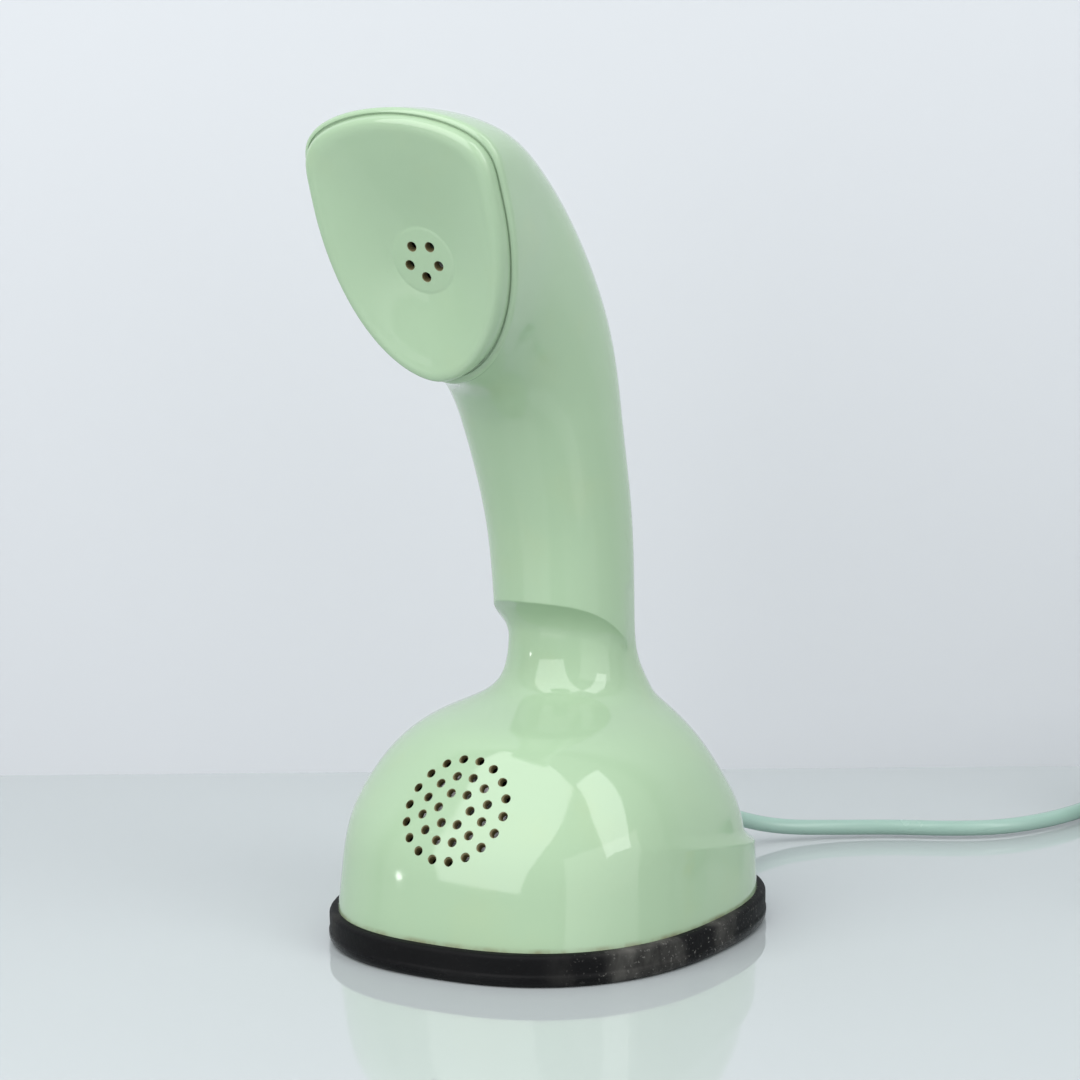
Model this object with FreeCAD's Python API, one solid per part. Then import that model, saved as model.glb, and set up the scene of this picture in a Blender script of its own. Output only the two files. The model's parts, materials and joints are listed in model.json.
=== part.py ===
import FreeCAD, Part
import math
import os

V = FreeCAD.Vector

# millimetres, Z up, the ear cap faces -Y, the floor is Z = 0
# the dial turns about the Z axis and the symmetry plane of the body is X = 0

# outside form
OUTER_POINTS = 24
INNER_POINTS = 16
WALL = 2.6
RING_HEIGHT = 9.0
RING_HALF = 57.0
RING_FRONT = 65.0
RING_BACK = 63.5
RING_POWER = 2.4
RING_BAND = 11.0
RING_ROUND = 2.4
RING_TOP_ROUND = 1.2

# skirt of the housing: height, front, back, half width, power
SKIRT = [
    (RING_HEIGHT, 62.0, 60.5, 54.0, 2.42),
    (22.0, 59.6, 59.7, 52.6, 2.42),
    (44.0, 51.2, 58.2, 51.2, 2.40),
]
CREASE_HEIGHT = 28.8
CREASE_SLOPE = 0.17

# dome and neck of the housing: height, front, back, half width, power
DOME = [
    (13.0, 60.6, 55.5, 52.2, 2.42),
    (33.5, 57.0, 50.2, 50.8, 2.40),
    (45.0, 49.9, 43.7, 47.0, 2.30),
    (55.0, 42.0, 38.8, 40.0, 2.20),
    (61.0, 34.5, 36.2, 32.0, 2.15),
    (65.0, 19.5, 34.8, 24.4, 2.12),
    (69.0, 9.0, 33.8, 20.6, 2.10),
    (74.0, 6.0, 31.8, 18.8, 2.10),
    (82.0, 4.9, 30.2, 17.9, 2.10),
    (90.0, 8.6, 29.2, 18.0, 2.10),
    (99.0, 11.4, 28.3, 18.2, 2.10),
]

# axis the head fans about, from the handle up to the seam under the ear cap
FAN_Y = -43.63
FAN_Z = 144.02
FAN_RADIUS = 68.0

# tilt of the seam and its outline, below and above the fan radius
SEAM_TILT = 21.0
SEAM_HALF = 30.8
SEAM_TOP = 27.4
SEAM_BOTTOM = 50.8
SEAM_WIDEST = 0.675
SEAM_POWER = 3.2

# handle below the fan axis: drop, inner, outer, half width
HANDLE = [
    (80.0, 33.0, 73.4, 19.0),
    (64.0, 32.2, 73.4, 19.1),
    (46.0, 30.7, 73.1, 19.3),
    (28.0, 28.0, 71.5, 19.8),
]
# head about the fan axis: turn, below and above the fan radius, half width
HEAD = [
    (0.0, 50.4, -2.7, 21.2),
    (22.0, 53.2, -4.6, 22.0),
    (45.0, 54.4, -3.6, 22.9),
    (67.0, 54.6, 1.5, 24.0),
    (87.0, 53.8, 11.6, 25.8),
    (100.0, 52.6, 21.3, 28.4),
]
HANDLE_POWER = 2.1
LEDGE_HEIGHT = 93.0
LEDGE_BACK = 20.0
LEDGE_ROUND = 16.0

# ear cap
CAP_TILT = 18.4
CAP_HOLES_BACK = 6.0
CAP_HOLES_DROP = 14.2
CAP_HOLES = 5
CAP_HOLE_CIRCLE = 4.7
CAP_HOLE = 2.6
CAP_RISE = 5.3
CAP_BOSS = 8.5
CAP_WEB = 2.4
# cap edge: share of the rise and how far it is drawn in
CAP_SHOULDER = ((0.0, 0.0), (0.35, 0.25), (0.65, 0.8), (0.88, 2.0), (1.0, 4.0))
# hollow of the cap face: depth and how far it is drawn in
CAP_DISH = ((-1.5, 3.4), (0.0, 5.6), (1.9, 10.0), (3.9, 16.0), (5.2, 22.0), (5.7, 26.5))
LIP_GAP = 0.4
LIP_DEPTH = 3.4
LIP_TAPER = 1.7

# mouthpiece grille
GRILLE_Y = -50.4
GRILLE_Z = 44.1
GRILLE_TILT = 33.0
GRILLE_RINGS = ((6, 5.1, 0.0), (12, 9.9, 0.5), (18, 15.1, 0.0))
GRILLE_HOLE = 2.3

# capsules
EAR_RADIUS = 20.0
EAR_DEPTH = 8.0
EAR_BACK_RADIUS = 15.5
EAR_BACK_DEPTH = 6.0
EAR_DROP = 13.0
EAR_PAD_BORE = 16.0
PAD_THICK = 1.2
CLIP_THICK = 1.0
CLIP_WIDTH = 9.0
CLIP_GAP = 2.6
CLIP_RISE = 5.5
MOUTH_RADIUS = 18.5
MOUTH_DEPTH = 8.0
MOUTH_SETBACK = 6.2
MOUTH_BACK_RADIUS = 13.0
MOUTH_BACK_DEPTH = 3.5
MOUTH_PAD_THICK = 1.1
MOUTH_PAD_BORE = 13.5
BRACKET_THICK = 1.2
BRACKET_HALF = 6.0
BRACKET_FOOT = 9.0

# base plate and its fasteners
PLATE_THICK = 2.2
PLATE_GAP = 0.9
PLATE_HOLE = 29.0
SCREW_INSET_X = 14.0
SCREW_INSET_Y = 21.0
SCREW_SHANK = 1.6
SCREW_HEAD = 3.0
SCREW_HEAD_HEIGHT = 1.7
SCREW_LENGTH = 14.0
SCREW_SLOT = 0.7
SCREW_BITE = 0.02
BOSS_RADIUS = 4.2
BOSS_TOP = 60.0
SMALL_SHANK = 1.2
SMALL_HEAD = 2.2
SMALL_HEAD_HEIGHT = 1.2

# dial
WHEEL_RADIUS = 36.5
WHEEL_BOTTOM = 2.6
WHEEL_THICK = 2.2
FINGER_HOLES = 10
FINGER_CIRCLE = 28.5
FINGER_HOLE = 12.6
FINGER_STEP = 30.0
FINGER_LAST = 60.0
NUMBER_RADIUS = 40.0
NUMBER_THICK = 1.8
NUMBER_BORE = 19.0
STOP_TURN = 28.0
STOP_GAP = 0.5
STOP_THICK = 1.1
STOP_WIDTH = 5.0
STOP_REACH = 12.0
STOP_LEG = 2.5
HUB_BORE = 11.3
HUB_TUBE = 13.0
HUB_FLANGE = 17.5
HUB_FLANGE_THICK = 1.2
HUB_TOP = 19.0
HUB_SCREWS = 3
HUB_SCREW_CIRCLE = 14.4
HUB_SCREW_HEAD = 1.6
HUB_SCREW_HEIGHT = 0.9
HUB_SCREW_SHANK = 0.9
FIT = 0.05
FRAME_RADIUS = 34.0
FRAME_THICK = 2.0
FRAME_BOSS = 15.6
FRAME_BOSS_RISE = 3.0
FRAME_SCREWS = (250.0, 350.0, 100.0)
RUN_GAP = 0.1

# return spring
SPRING_STRIP = 0.5
SPRING_STEP = 0.8
SPRING_INNER = 16.4
SPRING_HALVES = 6
SPRING_LIFT = 0.2
SPRING_HEIGHT = 2.0
SPRING_POST = 1.0

# dial gears
MAIN_MODULE = 0.8
MAIN_TEETH = 48
PINION_TEETH = 12
FAST_MODULE = 0.6
FAST_TEETH = 32
GOVERNOR_TEETH = 10
TOOTH_SHARE = 0.40
GEAR_THICK = 1.6
PINION_THICK = 2.5
FAST_BOTTOM = 19.0
FAST_THICK = 1.2
IDLER_TURN = 150.0
GOVERNOR_TURN = 84.0
ARBOR = 1.0
CAM_BOTTOM = 21.2
CAM_THICK = 2.0
CAM_LOBES = 3
CAM_REACH = 4.0
GOVERNOR_PINION_BOTTOM = 18.4
GOVERNOR_PINION_THICK = 2.2
CUP_RADIUS = 7.3
CUP_WALL = 0.8
CUP_BOTTOM = 20.9
WEIGHT_REACH = 5.9
WEIGHT_BOTTOM = 21.2
WEIGHT_THICK = 3.0
ARM_HALF = 1.2

# bridge over the gears
BRIDGE_BOTTOM = 25.2
BRIDGE_THICK = 1.2
BRIDGE_BAR = 3.0
PILLAR = 1.4
PILLARS = ((-32.2, 16.2), (-10.4, 24.5), (-17.1, 33.3))
LUG = 2.6

# impulse contacts
IMPULSE_BLOCK = (-33.0, -28.5, 0.5, 4.5)
IMPULSE_TOP = 24.0
IMPULSE_LEAF = 0.4
IMPULSE_LEAF_BOTTOM = 21.4
IMPULSE_LEAF_HEIGHT = 1.6
IMPULSE_LEAF_LENGTH = 11.5
IMPULSE_LEAF_TURN = 22.7
IMPULSE_LEAF_STEP = 1.5

# hook switch
BUTTON_RADIUS = 11.0
BUTTON_LIFT = 0.3
BUTTON_HEIGHT = 6.5
BUTTON_ROUND = 1.2
STEM_RADIUS = 3.0
STEM_TOP = 35.0
PLUNGER_SPRING = 4.6
PLUNGER_SPRING_BORE = 3.4
STRAP_OUTSIDE = 2.0
STRAP_HALF = 6.0
STRAP_THICK = 1.5
STRAP_TOP = 29.0
STRAP_FOOT = 6.0
LEVER_X = 12.0
LEVER_RISE = 1.0
LEVER_PIN = 0.8
LEVER_BARREL = 1.9
LEVER_THICK = 1.2
LEVER_HALF = 3.6
LEVER_NEAR = -1.5
LEVER_FAR = 21.5
LEVER_GAP = 0.3
EAR_HALF = 3.0
EAR_OUTER = 5.2
EAR_INNER = 4.0
LEAF_THICK = 0.4
LEAF_GAP = 1.4
LEAVES = 3
LEAF_NEAR = 17.0
STACK_NEAR = 26.0
STACK_FAR = 32.0
LEAF_HALF = 3.0
STACK_HALF = 4.0

# induction coil on the strap
COIL_NEAR = -10.0
COIL_FAR = -31.0
COIL_CHEEK = 1.5
COIL_CHEEK_HALF = 6.0
COIL_CORE = 2.5
COIL_TUBE = 3.4
COIL_WOUND = 5.3
CORE_PAST = 2.0

# capacitor and terminals
CAPACITOR = (36.8, 43.6, -27.0, -8.5)
CAPACITOR_HEIGHT = 14.0
CAPACITOR_ROUND = 1.5
TERMINAL_HALF = 12.0
TERMINAL_OUTSIDE = 2.5
TERMINAL_DEPTH = 8.5
TERMINAL_HEIGHT = 7.8
TERMINAL_STEP = 7.2
TERMINAL_SCREWS = 3
TERMINAL_SHIFT = 2.4

# lead to the receiver
LEAD_RADIUS = 1.3
LEAD_X = -9.8
LEAD_EXIT = 6.0
LEAD_STRAIGHT = 12.0

LEAD_ROUTE = [
    (-9.0, 33.8, 52.0),
    (-7.2, 24.6, 68.0),
    (-5.6, 16.5, 91.0),
    (-3.5, 8.0, 117.0),
    (-1.6, 1.5, 141.0),
    (-0.7, -6.0, 160.0),
    (-0.2, -13.5, 176.0),
    (0.0, -22.5, 190.5),
]

# cord gland
CORD_RADIUS = 2.4
CORD_Z = 14.5
GLAND_NECK = 3.1
GLAND_FLANGE = 5.0
GLAND_FLANGE_BACK = 52.1
GLAND_FLANGE_THICK = 1.6
GLAND_HOLE_GAP = 0.15
GLAND_BASE = 4.1
GLAND_TIP = 3.0
GLAND_START = 60.6
GLAND_END = 83.0

# free cord: points of its route from the gland to the coil
CORD_ROUTE = [
    (0.0, GLAND_END, CORD_Z),
    (0.0, 96.0, CORD_Z),
    (4.0, 108.0, 8.4),
    (12.5, 119.5, 4.6),
    (25.0, 131.5, 3.5),
    (40.0, 141.5, 3.3),
    (56.0, 148.0, 3.3),
    (70.0, 157.5, 3.3),
    (79.0, 174.0, 3.3),
]

# put-away coil
LOOP_X = 116.0
LOOP_Y = 212.0
LOOP_Z = 3.3
LOOP_STEP = 5.3
LOOP_MEAN = 26.5
LOOP_LAYERS = 4
LOOP_TURNS = 2.125

# tie round the coil
TIE_WIDTH = 8.0
TIE_THICK = 0.6
TIE_GAP = 0.3
TIE_ROUND = 3.0

# end of the cord and its plug
PLUG_X = 152.0
PLUG_Y = 128.0
PLUG_Z = 7.0
PLUG_LENGTH = 34.0
PLUG_HALF = 12.0
PLUG_HEIGHT = 14.0
PLUG_ROUND = 4.0
PLUG_SLEEVE = 12.0
PLUG_SLEEVE_BASE = 4.4
PIN_RADIUS = 2.0
PIN_LENGTH = 14.0
PIN_SPREAD = 6.5
PIN_RISE = 3.2
PIN_SHORT = 3.0
END_ROUTE = [
    (148.8, 182.0, 15.2),
    (150.4, 168.0, 9.0),
]
END_STRAIGHT = 12.0
JOIN_STRAIGHT = 14.0


def section_points(front, back, half, widest, p_front, p_back, count):
    """Closed outline of four superellipse quarters, first point at the front."""
    pts = []
    middle = -front + (front + back) * widest
    for i in range(count):
        a = 2.0 * math.pi * i / count
        c = math.cos(a)
        s = math.sin(a)
        p = p_front if c >= 0 else p_back
        reach = middle + front if c >= 0 else back - middle
        along = middle - math.copysign(abs(c) ** (2.0 / p), c) * reach
        across = math.copysign(abs(s) ** (2.0 / p), s) * half
        pts.append((across, along))
    return pts


def level_points(z, front, back, half, power, inset=0.0, count=OUTER_POINTS):
    args = (front - inset, back - inset, half - inset, 0.5, power, power, count)
    return [V(x, y, z) for x, y in section_points(*args)]


def skin(sections):
    """Solid with one smooth side face through closed sections of equal point count."""
    count = len(sections[0])
    around = [float(i) for i in range(count + 1)]
    along = [0.0]
    for a, b in zip(sections, sections[1:]):
        along.append(along[-1] + sum(p.distanceToPoint(q) for p, q in zip(a, b)) / count)
    rings = []
    for pts in sections:
        ring = Part.BSplineCurve()
        ring.interpolate(Points=pts, PeriodicFlag=True, Parameters=around)
        rings.append(ring)
    rows = []
    for column in zip(*[ring.getPoles() for ring in rings]):
        line = Part.BSplineCurve()
        line.interpolate(Points=list(column), Parameters=along)
        rows.append(line)
    side = Part.BSplineSurface()
    side.buildFromPolesMultsKnots(
        [line.getPoles() for line in rows],
        rings[0].getMultiplicities(), rows[0].getMultiplicities(),
        rings[0].getKnots(), rows[0].getKnots(),
        True, False, rings[0].Degree, rows[0].Degree)
    ends = [Part.Face(Part.Wire([ring.toShape()])) for ring in (rings[0], rings[-1])]
    shell = Part.makeShell([side.toShape()] + ends)
    shell.sewShape()
    solid = Part.makeSolid(Part.Shell(shell.Faces))
    if solid.Volume < 0:
        solid.reverse()
    return solid


def tower(stations, inset=0.0, count=OUTER_POINTS):
    return skin([level_points(*station, inset, count) for station in stations])


SEAM_Y = FAN_Y - FAN_RADIUS * math.sin(math.radians(SEAM_TILT))
SEAM_Z = FAN_Z + FAN_RADIUS * math.cos(math.radians(SEAM_TILT))
FAN_TURN = 90.0 + SEAM_TILT
FAN_STATIONS = HEAD + [(FAN_TURN, SEAM_BOTTOM, SEAM_TOP, SEAM_HALF)]
FAN_STATIONS = [(t, FAN_RADIUS - low, FAN_RADIUS + high, half) for t, low, high, half in FAN_STATIONS]
SEAM_STATION = FAN_STATIONS[-1]


def fan_points(turn, inner, outer, half, inset=0.0, drop=0.0, count=OUTER_POINTS):
    """Section in a plane through the fan axis, turned from the level at the back."""
    t = min(1.0, max(0.0, (turn - 10.0) / (FAN_TURN - 10.0))) ** 1.6
    widest = 0.5 + (SEAM_WIDEST - 0.5) * t
    p_in = HANDLE_POWER - 0.1 * t
    p_out = HANDLE_POWER + (SEAM_POWER - HANDLE_POWER) * t
    args = (-inner - inset, outer - inset, half - inset, widest, p_in, p_out, count)
    a = math.radians(turn)
    out = []
    for x, r in section_points(*args):
        out.append(V(x, FAN_Y + r * math.cos(a), FAN_Z - drop + r * math.sin(a)))
    return out


def handle_solid(inset=0.0, count=OUTER_POINTS, past=0.0):
    rows = [fan_points(0.0, i, o, h, inset, d, count) for d, i, o, h in HANDLE]
    rows += [fan_points(t, i, o, h, inset, 0.0, count) for t, i, o, h in FAN_STATIONS[:-1]]
    turn, inner, outer, half = SEAM_STATION
    rows.append(fan_points(turn + past, inner, outer, half, inset, 0.0, count))
    return skin(rows)


def under_ledge(grow=0.0):
    """Arch in side view that takes the handle's lower front away below the ledge."""
    top = LEDGE_HEIGHT + grow
    back = LEDGE_BACK + grow
    r = LEDGE_ROUND
    half_turn = math.sin(math.radians(45.0))
    mid = V(0, back - r + r * half_turn, top - r + r * half_turn)
    front = -2.0 * RING_FRONT
    low = 0.0
    side = Part.Wire([
        Part.makeLine(V(0, front, top), V(0, back - r, top)),
        Part.Arc(V(0, back - r, top), mid, V(0, back, top - r)).toShape(),
        Part.makeLine(V(0, back, top - r), V(0, back, low)),
        Part.makeLine(V(0, back, low), V(0, front, low)),
        Part.makeLine(V(0, front, low), V(0, front, top)),
    ])
    face = Part.Face(side)
    face.translate(V(-RING_HALF, 0, 0))
    return face.extrude(V(2.0 * RING_HALF, 0, 0))


def above_crease(lower=0.0):
    reach = 2.0 * RING_FRONT
    front_z = CREASE_HEIGHT + CREASE_SLOPE * reach - lower
    back_z = CREASE_HEIGHT - CREASE_SLOPE * reach - lower
    p = [V(-reach, -reach, front_z), V(-reach, reach, back_z)]
    p += [V(-reach, reach, 2.0 * reach), V(-reach, -reach, 2.0 * reach), p[0]]
    return Part.Face(Part.makePolygon(p)).extrude(V(2.0 * reach, 0, 0))


def housing_form(inset=0.0, count=OUTER_POINTS, past=0.0, below=0.0):
    """Dome, skirt, neck, handle and head as one solid, drawn in by the inset."""
    handle = handle_solid(inset, count, past).cut(under_ledge(inset))
    skirt = [(RING_HEIGHT - below,) + SKIRT[0][1:]] + SKIRT[1:]
    skirt = tower(skirt, inset, count).cut(above_crease(inset))
    return tower(DOME, inset, count).fuse([skirt, handle]).removeSplitter()


def cylinder(r, z0, z1, x=0.0, y=0.0):
    return Part.makeCylinder(r, z1 - z0, V(x, y, z0))


def pipe(outer, bore, z0, z1, x=0.0, y=0.0):
    return cylinder(outer, z0, z1, x, y).cut(cylinder(bore, z0 - 1.0, z1 + 1.0, x, y))


def block(x0, x1, y0, y1, z0, z1):
    return Part.makeBox(x1 - x0, y1 - y0, z1 - z0, V(x0, y0, z0))


def turned(shape, degrees, x=0.0, y=0.0):
    out = shape.copy()
    out.rotate(V(x, y, 0), V(0, 0, 1), degrees)
    return out


def tilt_axes(tilt):
    """Outward normal and upward direction of a face that leans by the tilt."""
    t = math.radians(tilt)
    return V(0, -math.cos(t), -math.sin(t)), V(0, -math.sin(t), math.cos(t))


CAP_OUT, CAP_UP = tilt_axes(CAP_TILT)
SEAM_OUT, SEAM_UP = tilt_axes(SEAM_TILT)
GRILLE_OUT, GRILLE_UP = tilt_axes(-GRILLE_TILT)
SEAM_POINT = V(0, SEAM_Y, SEAM_Z)
CAP_CENTRE = SEAM_POINT + V(0, CAP_HOLES_BACK, -CAP_HOLES_DROP)
GRILLE_CENTRE = V(0, GRILLE_Y, GRILLE_Z)


def rod(r, start, direction, length):
    return Part.makeCylinder(r, length, start, direction)


def make_ring():
    """Rubber ring under the whole rim."""
    rise = (0.0, RING_ROUND, RING_HEIGHT - RING_TOP_ROUND, RING_HEIGHT)
    draw = (RING_ROUND * 0.6, 0.0, 0.0, RING_TOP_ROUND)
    rows = []
    for z, d in zip(rise, draw):
        rows.append(level_points(z, RING_FRONT, RING_BACK, RING_HALF, RING_POWER, d))
    bands = [ruled(rows[i], rows[i + 1]) for i in range(3)]
    solid = bands[0].fuse(bands[1:]).removeSplitter()
    args = (RING_FRONT, RING_BACK, RING_HALF, RING_POWER, RING_BAND)
    bore = ruled(level_points(-1.0, *args), level_points(RING_HEIGHT + 1.0, *args))
    return solid.cut(bore)


def ruled(low, high):
    return skin([low, high])


def cap_section(rise, inset):
    """Outline of the cap a share of the way from the seam to the face plane."""
    turn, inner, outer, half = SEAM_STATION
    face = CAP_CENTRE + CAP_OUT * CAP_RISE
    out = []
    for p in fan_points(turn, inner, outer, half, inset):
        gap = (face - p).dot(CAP_OUT)
        out.append(p + CAP_OUT * (gap * rise))
    return out


def dish_section(depth, inset):
    turn, inner, outer, half = SEAM_STATION
    face = CAP_CENTRE + CAP_OUT * CAP_RISE
    out = []
    for p in fan_points(turn, inner, outer, half, inset):
        gap = (face - p).dot(CAP_OUT)
        out.append(p + CAP_OUT * (gap - depth))
    return out


def make_ear_cap():
    hollow = skin([dish_section(d, i) for d, i in CAP_DISH])
    body = skin([cap_section(r, i) for r, i in CAP_SHOULDER]).cut(hollow)
    lip_inset = WALL + LIP_GAP
    lip = prism_from_seam(lip_inset, LIP_DEPTH, LIP_TAPER)
    core = rod(CAP_BOSS, CAP_CENTRE - CAP_OUT * CAP_WEB, CAP_OUT, CAP_WEB)
    floor, narrow = CAP_DISH[-1]
    wide = CAP_DISH[-2][1]
    room = skin([
        [p + CAP_OUT * SCREW_BITE for p in dish_section(floor, narrow)],
        [p + CAP_OUT * (floor / 2) for p in dish_section(floor, wide)],
    ])
    body = body.fuse([lip]).cut(room).cut(hollow).fuse(core)
    for i in range(CAP_HOLES):
        a = math.radians(-90.0 + 360.0 * i / CAP_HOLES)
        p = CAP_CENTRE + V(1, 0, 0) * (CAP_HOLE_CIRCLE * math.cos(a))
        p = p + CAP_UP * (CAP_HOLE_CIRCLE * math.sin(a))
        body = body.cut(rod(CAP_HOLE / 2, p - CAP_OUT * 12.0, CAP_OUT, 24.0))
    return body


def prism_from_seam(inset, depth, taper):
    """Seam outline drawn in, pushed back into the head and narrowed with it."""
    turn, inner, outer, half = SEAM_STATION
    front = fan_points(turn, inner, outer, half, inset)
    back = fan_points(turn, inner, outer, half, inset + taper)
    return ruled(front, [p - SEAM_OUT * depth for p in back])


def compound(shapes):
    return Part.makeCompound(shapes)


def bar(p, q, half, z0, z1):
    """Flat bar with round ends from one point to another."""
    dx = q[0] - p[0]
    dy = q[1] - p[1]
    length = math.hypot(dx, dy)
    middle = Part.makeBox(length, 2.0 * half, z1 - z0, V(0, -half, z0))
    middle.rotate(V(0, 0, 0), V(0, 0, 1), math.degrees(math.atan2(dy, dx)))
    middle.translate(V(p[0], p[1], 0))
    return middle.fuse([cylinder(half, z0, z1, *p), cylinder(half, z0, z1, *q)]).removeSplitter()


def polar(r, degrees, x=0.0, y=0.0):
    a = math.radians(degrees)
    return x + r * math.cos(a), y + r * math.sin(a)


def extruded(points, direction):
    """Prism from a closed outline of corners."""
    face = Part.Face(Part.makePolygon(points + [points[0]]))
    return face.extrude(direction)


PLATE_TOP = RING_HEIGHT + PLATE_THICK
IDLER_REACH = MAIN_MODULE * (MAIN_TEETH + PINION_TEETH) / 2
GOVERNOR_REACH = FAST_MODULE * (FAST_TEETH + GOVERNOR_TEETH) / 2
IDLER = polar(IDLER_REACH, IDLER_TURN)
GOVERNOR = polar(GOVERNOR_REACH, GOVERNOR_TURN, *IDLER)
FRAME_TOP = PLATE_TOP + FRAME_THICK
FRAME_BOSS_TOP = FRAME_TOP + FRAME_BOSS_RISE
GEAR_BOTTOM = FRAME_BOSS_TOP + RUN_GAP
GEAR_TOP = GEAR_BOTTOM + GEAR_THICK
WHEEL_TOP = WHEEL_BOTTOM + WHEEL_THICK
NUMBER_BOTTOM = RING_HEIGHT - NUMBER_THICK
STRAP_REACH = FRAME_RADIUS + STRAP_OUTSIDE
STRAP_BOTTOM = STRAP_TOP - STRAP_THICK
TERMINAL_FRONT = FRAME_RADIUS + TERMINAL_OUTSIDE
TERMINAL_BACK = TERMINAL_FRONT + TERMINAL_DEPTH
BRIDGE_TOP = BRIDGE_BOTTOM + BRIDGE_THICK
BUTTON_TOP = BUTTON_LIFT + BUTTON_HEIGHT
LEVER_Z = STEM_TOP + LEVER_RISE
SCREW_X = RING_HALF - RING_BAND - SCREW_INSET_X
SCREW_Y = RING_FRONT - RING_BAND - SCREW_INSET_Y
BASE_SCREWS = [(sx * SCREW_X, sy * SCREW_Y) for sx in (1, -1) for sy in (1, -1)]
GRILLE_BACK = GRILLE_CENTRE - GRILLE_OUT * (MOUTH_SETBACK + MOUTH_DEPTH + MOUTH_BACK_DEPTH)
EAR_FACE = SEAM_POINT - SEAM_UP * EAR_DROP - SEAM_OUT * (LIP_DEPTH + PAD_THICK)
EAR_BACK = EAR_FACE - SEAM_OUT * (EAR_DEPTH + EAR_BACK_DEPTH)
BRACKET_LOW = GRILLE_BACK - GRILLE_UP * (MOUTH_BACK_RADIUS - 1.0)
PLATE_SCREWS = [polar(FRAME_RADIUS - 2.4, a) + (FRAME_TOP,) for a in FRAME_SCREWS]
PLATE_SCREWS += [(s * (STRAP_REACH + 3.6), 0.0, PLATE_TOP + STRAP_THICK) for s in (1, -1)]
PLATE_SCREWS += [(0.0, BRACKET_LOW.y - BRACKET_FOOT / 2, PLATE_TOP + BRACKET_THICK)]


def small_bores(bottom):
    """Holes of the small screws that hold the works to the base plate."""
    rods = [cylinder(SMALL_SHANK + SCREW_BITE, bottom, z + 0.5, x, y) for x, y, z in PLATE_SCREWS]
    return compound(rods)


def make_housing():
    outer = housing_form()
    inner = housing_form(WALL, INNER_POINTS, 2.0, 1.0)
    shell = outer.cut(inner)
    bosses = []
    for x, y in BASE_SCREWS:
        post = cylinder(BOSS_RADIUS, PLATE_TOP, BOSS_TOP, x, y)
        bosses.append(post.common(outer))
    shell = shell.fuse(bosses)
    holes = []
    for x, y in BASE_SCREWS:
        holes.append(cylinder(SCREW_SHANK + SCREW_BITE, 0.0, RING_HEIGHT + SCREW_LENGTH + 1.0, x, y))
    for count, radius, offset in GRILLE_RINGS:
        for i in range(count):
            a = 2.0 * math.pi * (i + offset) / count
            p = GRILLE_CENTRE + V(1, 0, 0) * (radius * math.cos(a))
            p = p + GRILLE_UP * (radius * math.sin(a))
            start = p - GRILLE_OUT * MOUTH_SETBACK
            holes.append(rod(GRILLE_HOLE / 2, start, GRILLE_OUT, 2.0 * MOUTH_SETBACK))
    start = V(0, TERMINAL_BACK, CORD_Z)
    holes.append(rod(GLAND_NECK + GLAND_HOLE_GAP, start, V(0, 1, 0), GLAND_END - TERMINAL_BACK))
    return shell.cut(holes)


def make_base_plate():
    station = (PLATE_TOP,) + SKIRT[0][1:]
    top = level_points(*station, WALL + PLATE_GAP)
    low = [V(p.x, p.y, RING_HEIGHT) for p in top]
    plate = ruled(low, top)
    holes = [cylinder(PLATE_HOLE, 0, PLATE_TOP + 1.0)]
    for x, y in BASE_SCREWS:
        holes.append(cylinder(SCREW_SHANK + SCREW_BITE, 0, PLATE_TOP + 1.0, x, y))
    return plate.cut(holes).cut(small_bores(RING_HEIGHT - 1.0))


def screw(shank, length, head, height, slot, x, y, seat, up):
    """Slotted pan head screw; up is +1 where the head is on top."""
    z = seat if up > 0 else seat - height
    cap = cylinder(head, z, z + height, x, y)
    crown = [e for e in cap.Edges if abs(e.BoundBox.ZMin - (seat + up * height)) < 1e-6
             and e.BoundBox.ZLength < 1e-6]
    cap = cap.makeFillet(height * 0.45, crown[:1])
    z0 = seat - length if up > 0 else seat
    body = cap.fuse(cylinder(shank, z0, z0 + length, x, y))
    groove = seat + up * height
    depth = height * 0.45
    low = groove - depth if up > 0 else groove - 1.0
    cut = block(x - head - 1, x + head + 1, y - slot / 2, y + slot / 2, low, low + 1.0 + depth)
    return body.cut(cut).removeSplitter()


def make_base_screws():
    args = (SCREW_SHANK, SCREW_LENGTH, SCREW_HEAD, SCREW_HEAD_HEIGHT, SCREW_SLOT)
    return compound([screw(*args, x, y, RING_HEIGHT, -1) for x, y in BASE_SCREWS])


def make_plate_screws():
    out = []
    for x, y, z in PLATE_SCREWS:
        length = z - RING_HEIGHT - RUN_GAP
        args = (SMALL_SHANK, length, SMALL_HEAD, SMALL_HEAD_HEIGHT, SCREW_SLOT)
        out.append(screw(*args, x, y, z, 1))
    return compound(out)


def make_number_ring():
    return pipe(NUMBER_RADIUS, NUMBER_BORE, NUMBER_BOTTOM, RING_HEIGHT)


def hub_screw_places():
    return [polar(HUB_SCREW_CIRCLE, 360.0 * i / HUB_SCREWS) for i in range(HUB_SCREWS)]


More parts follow.
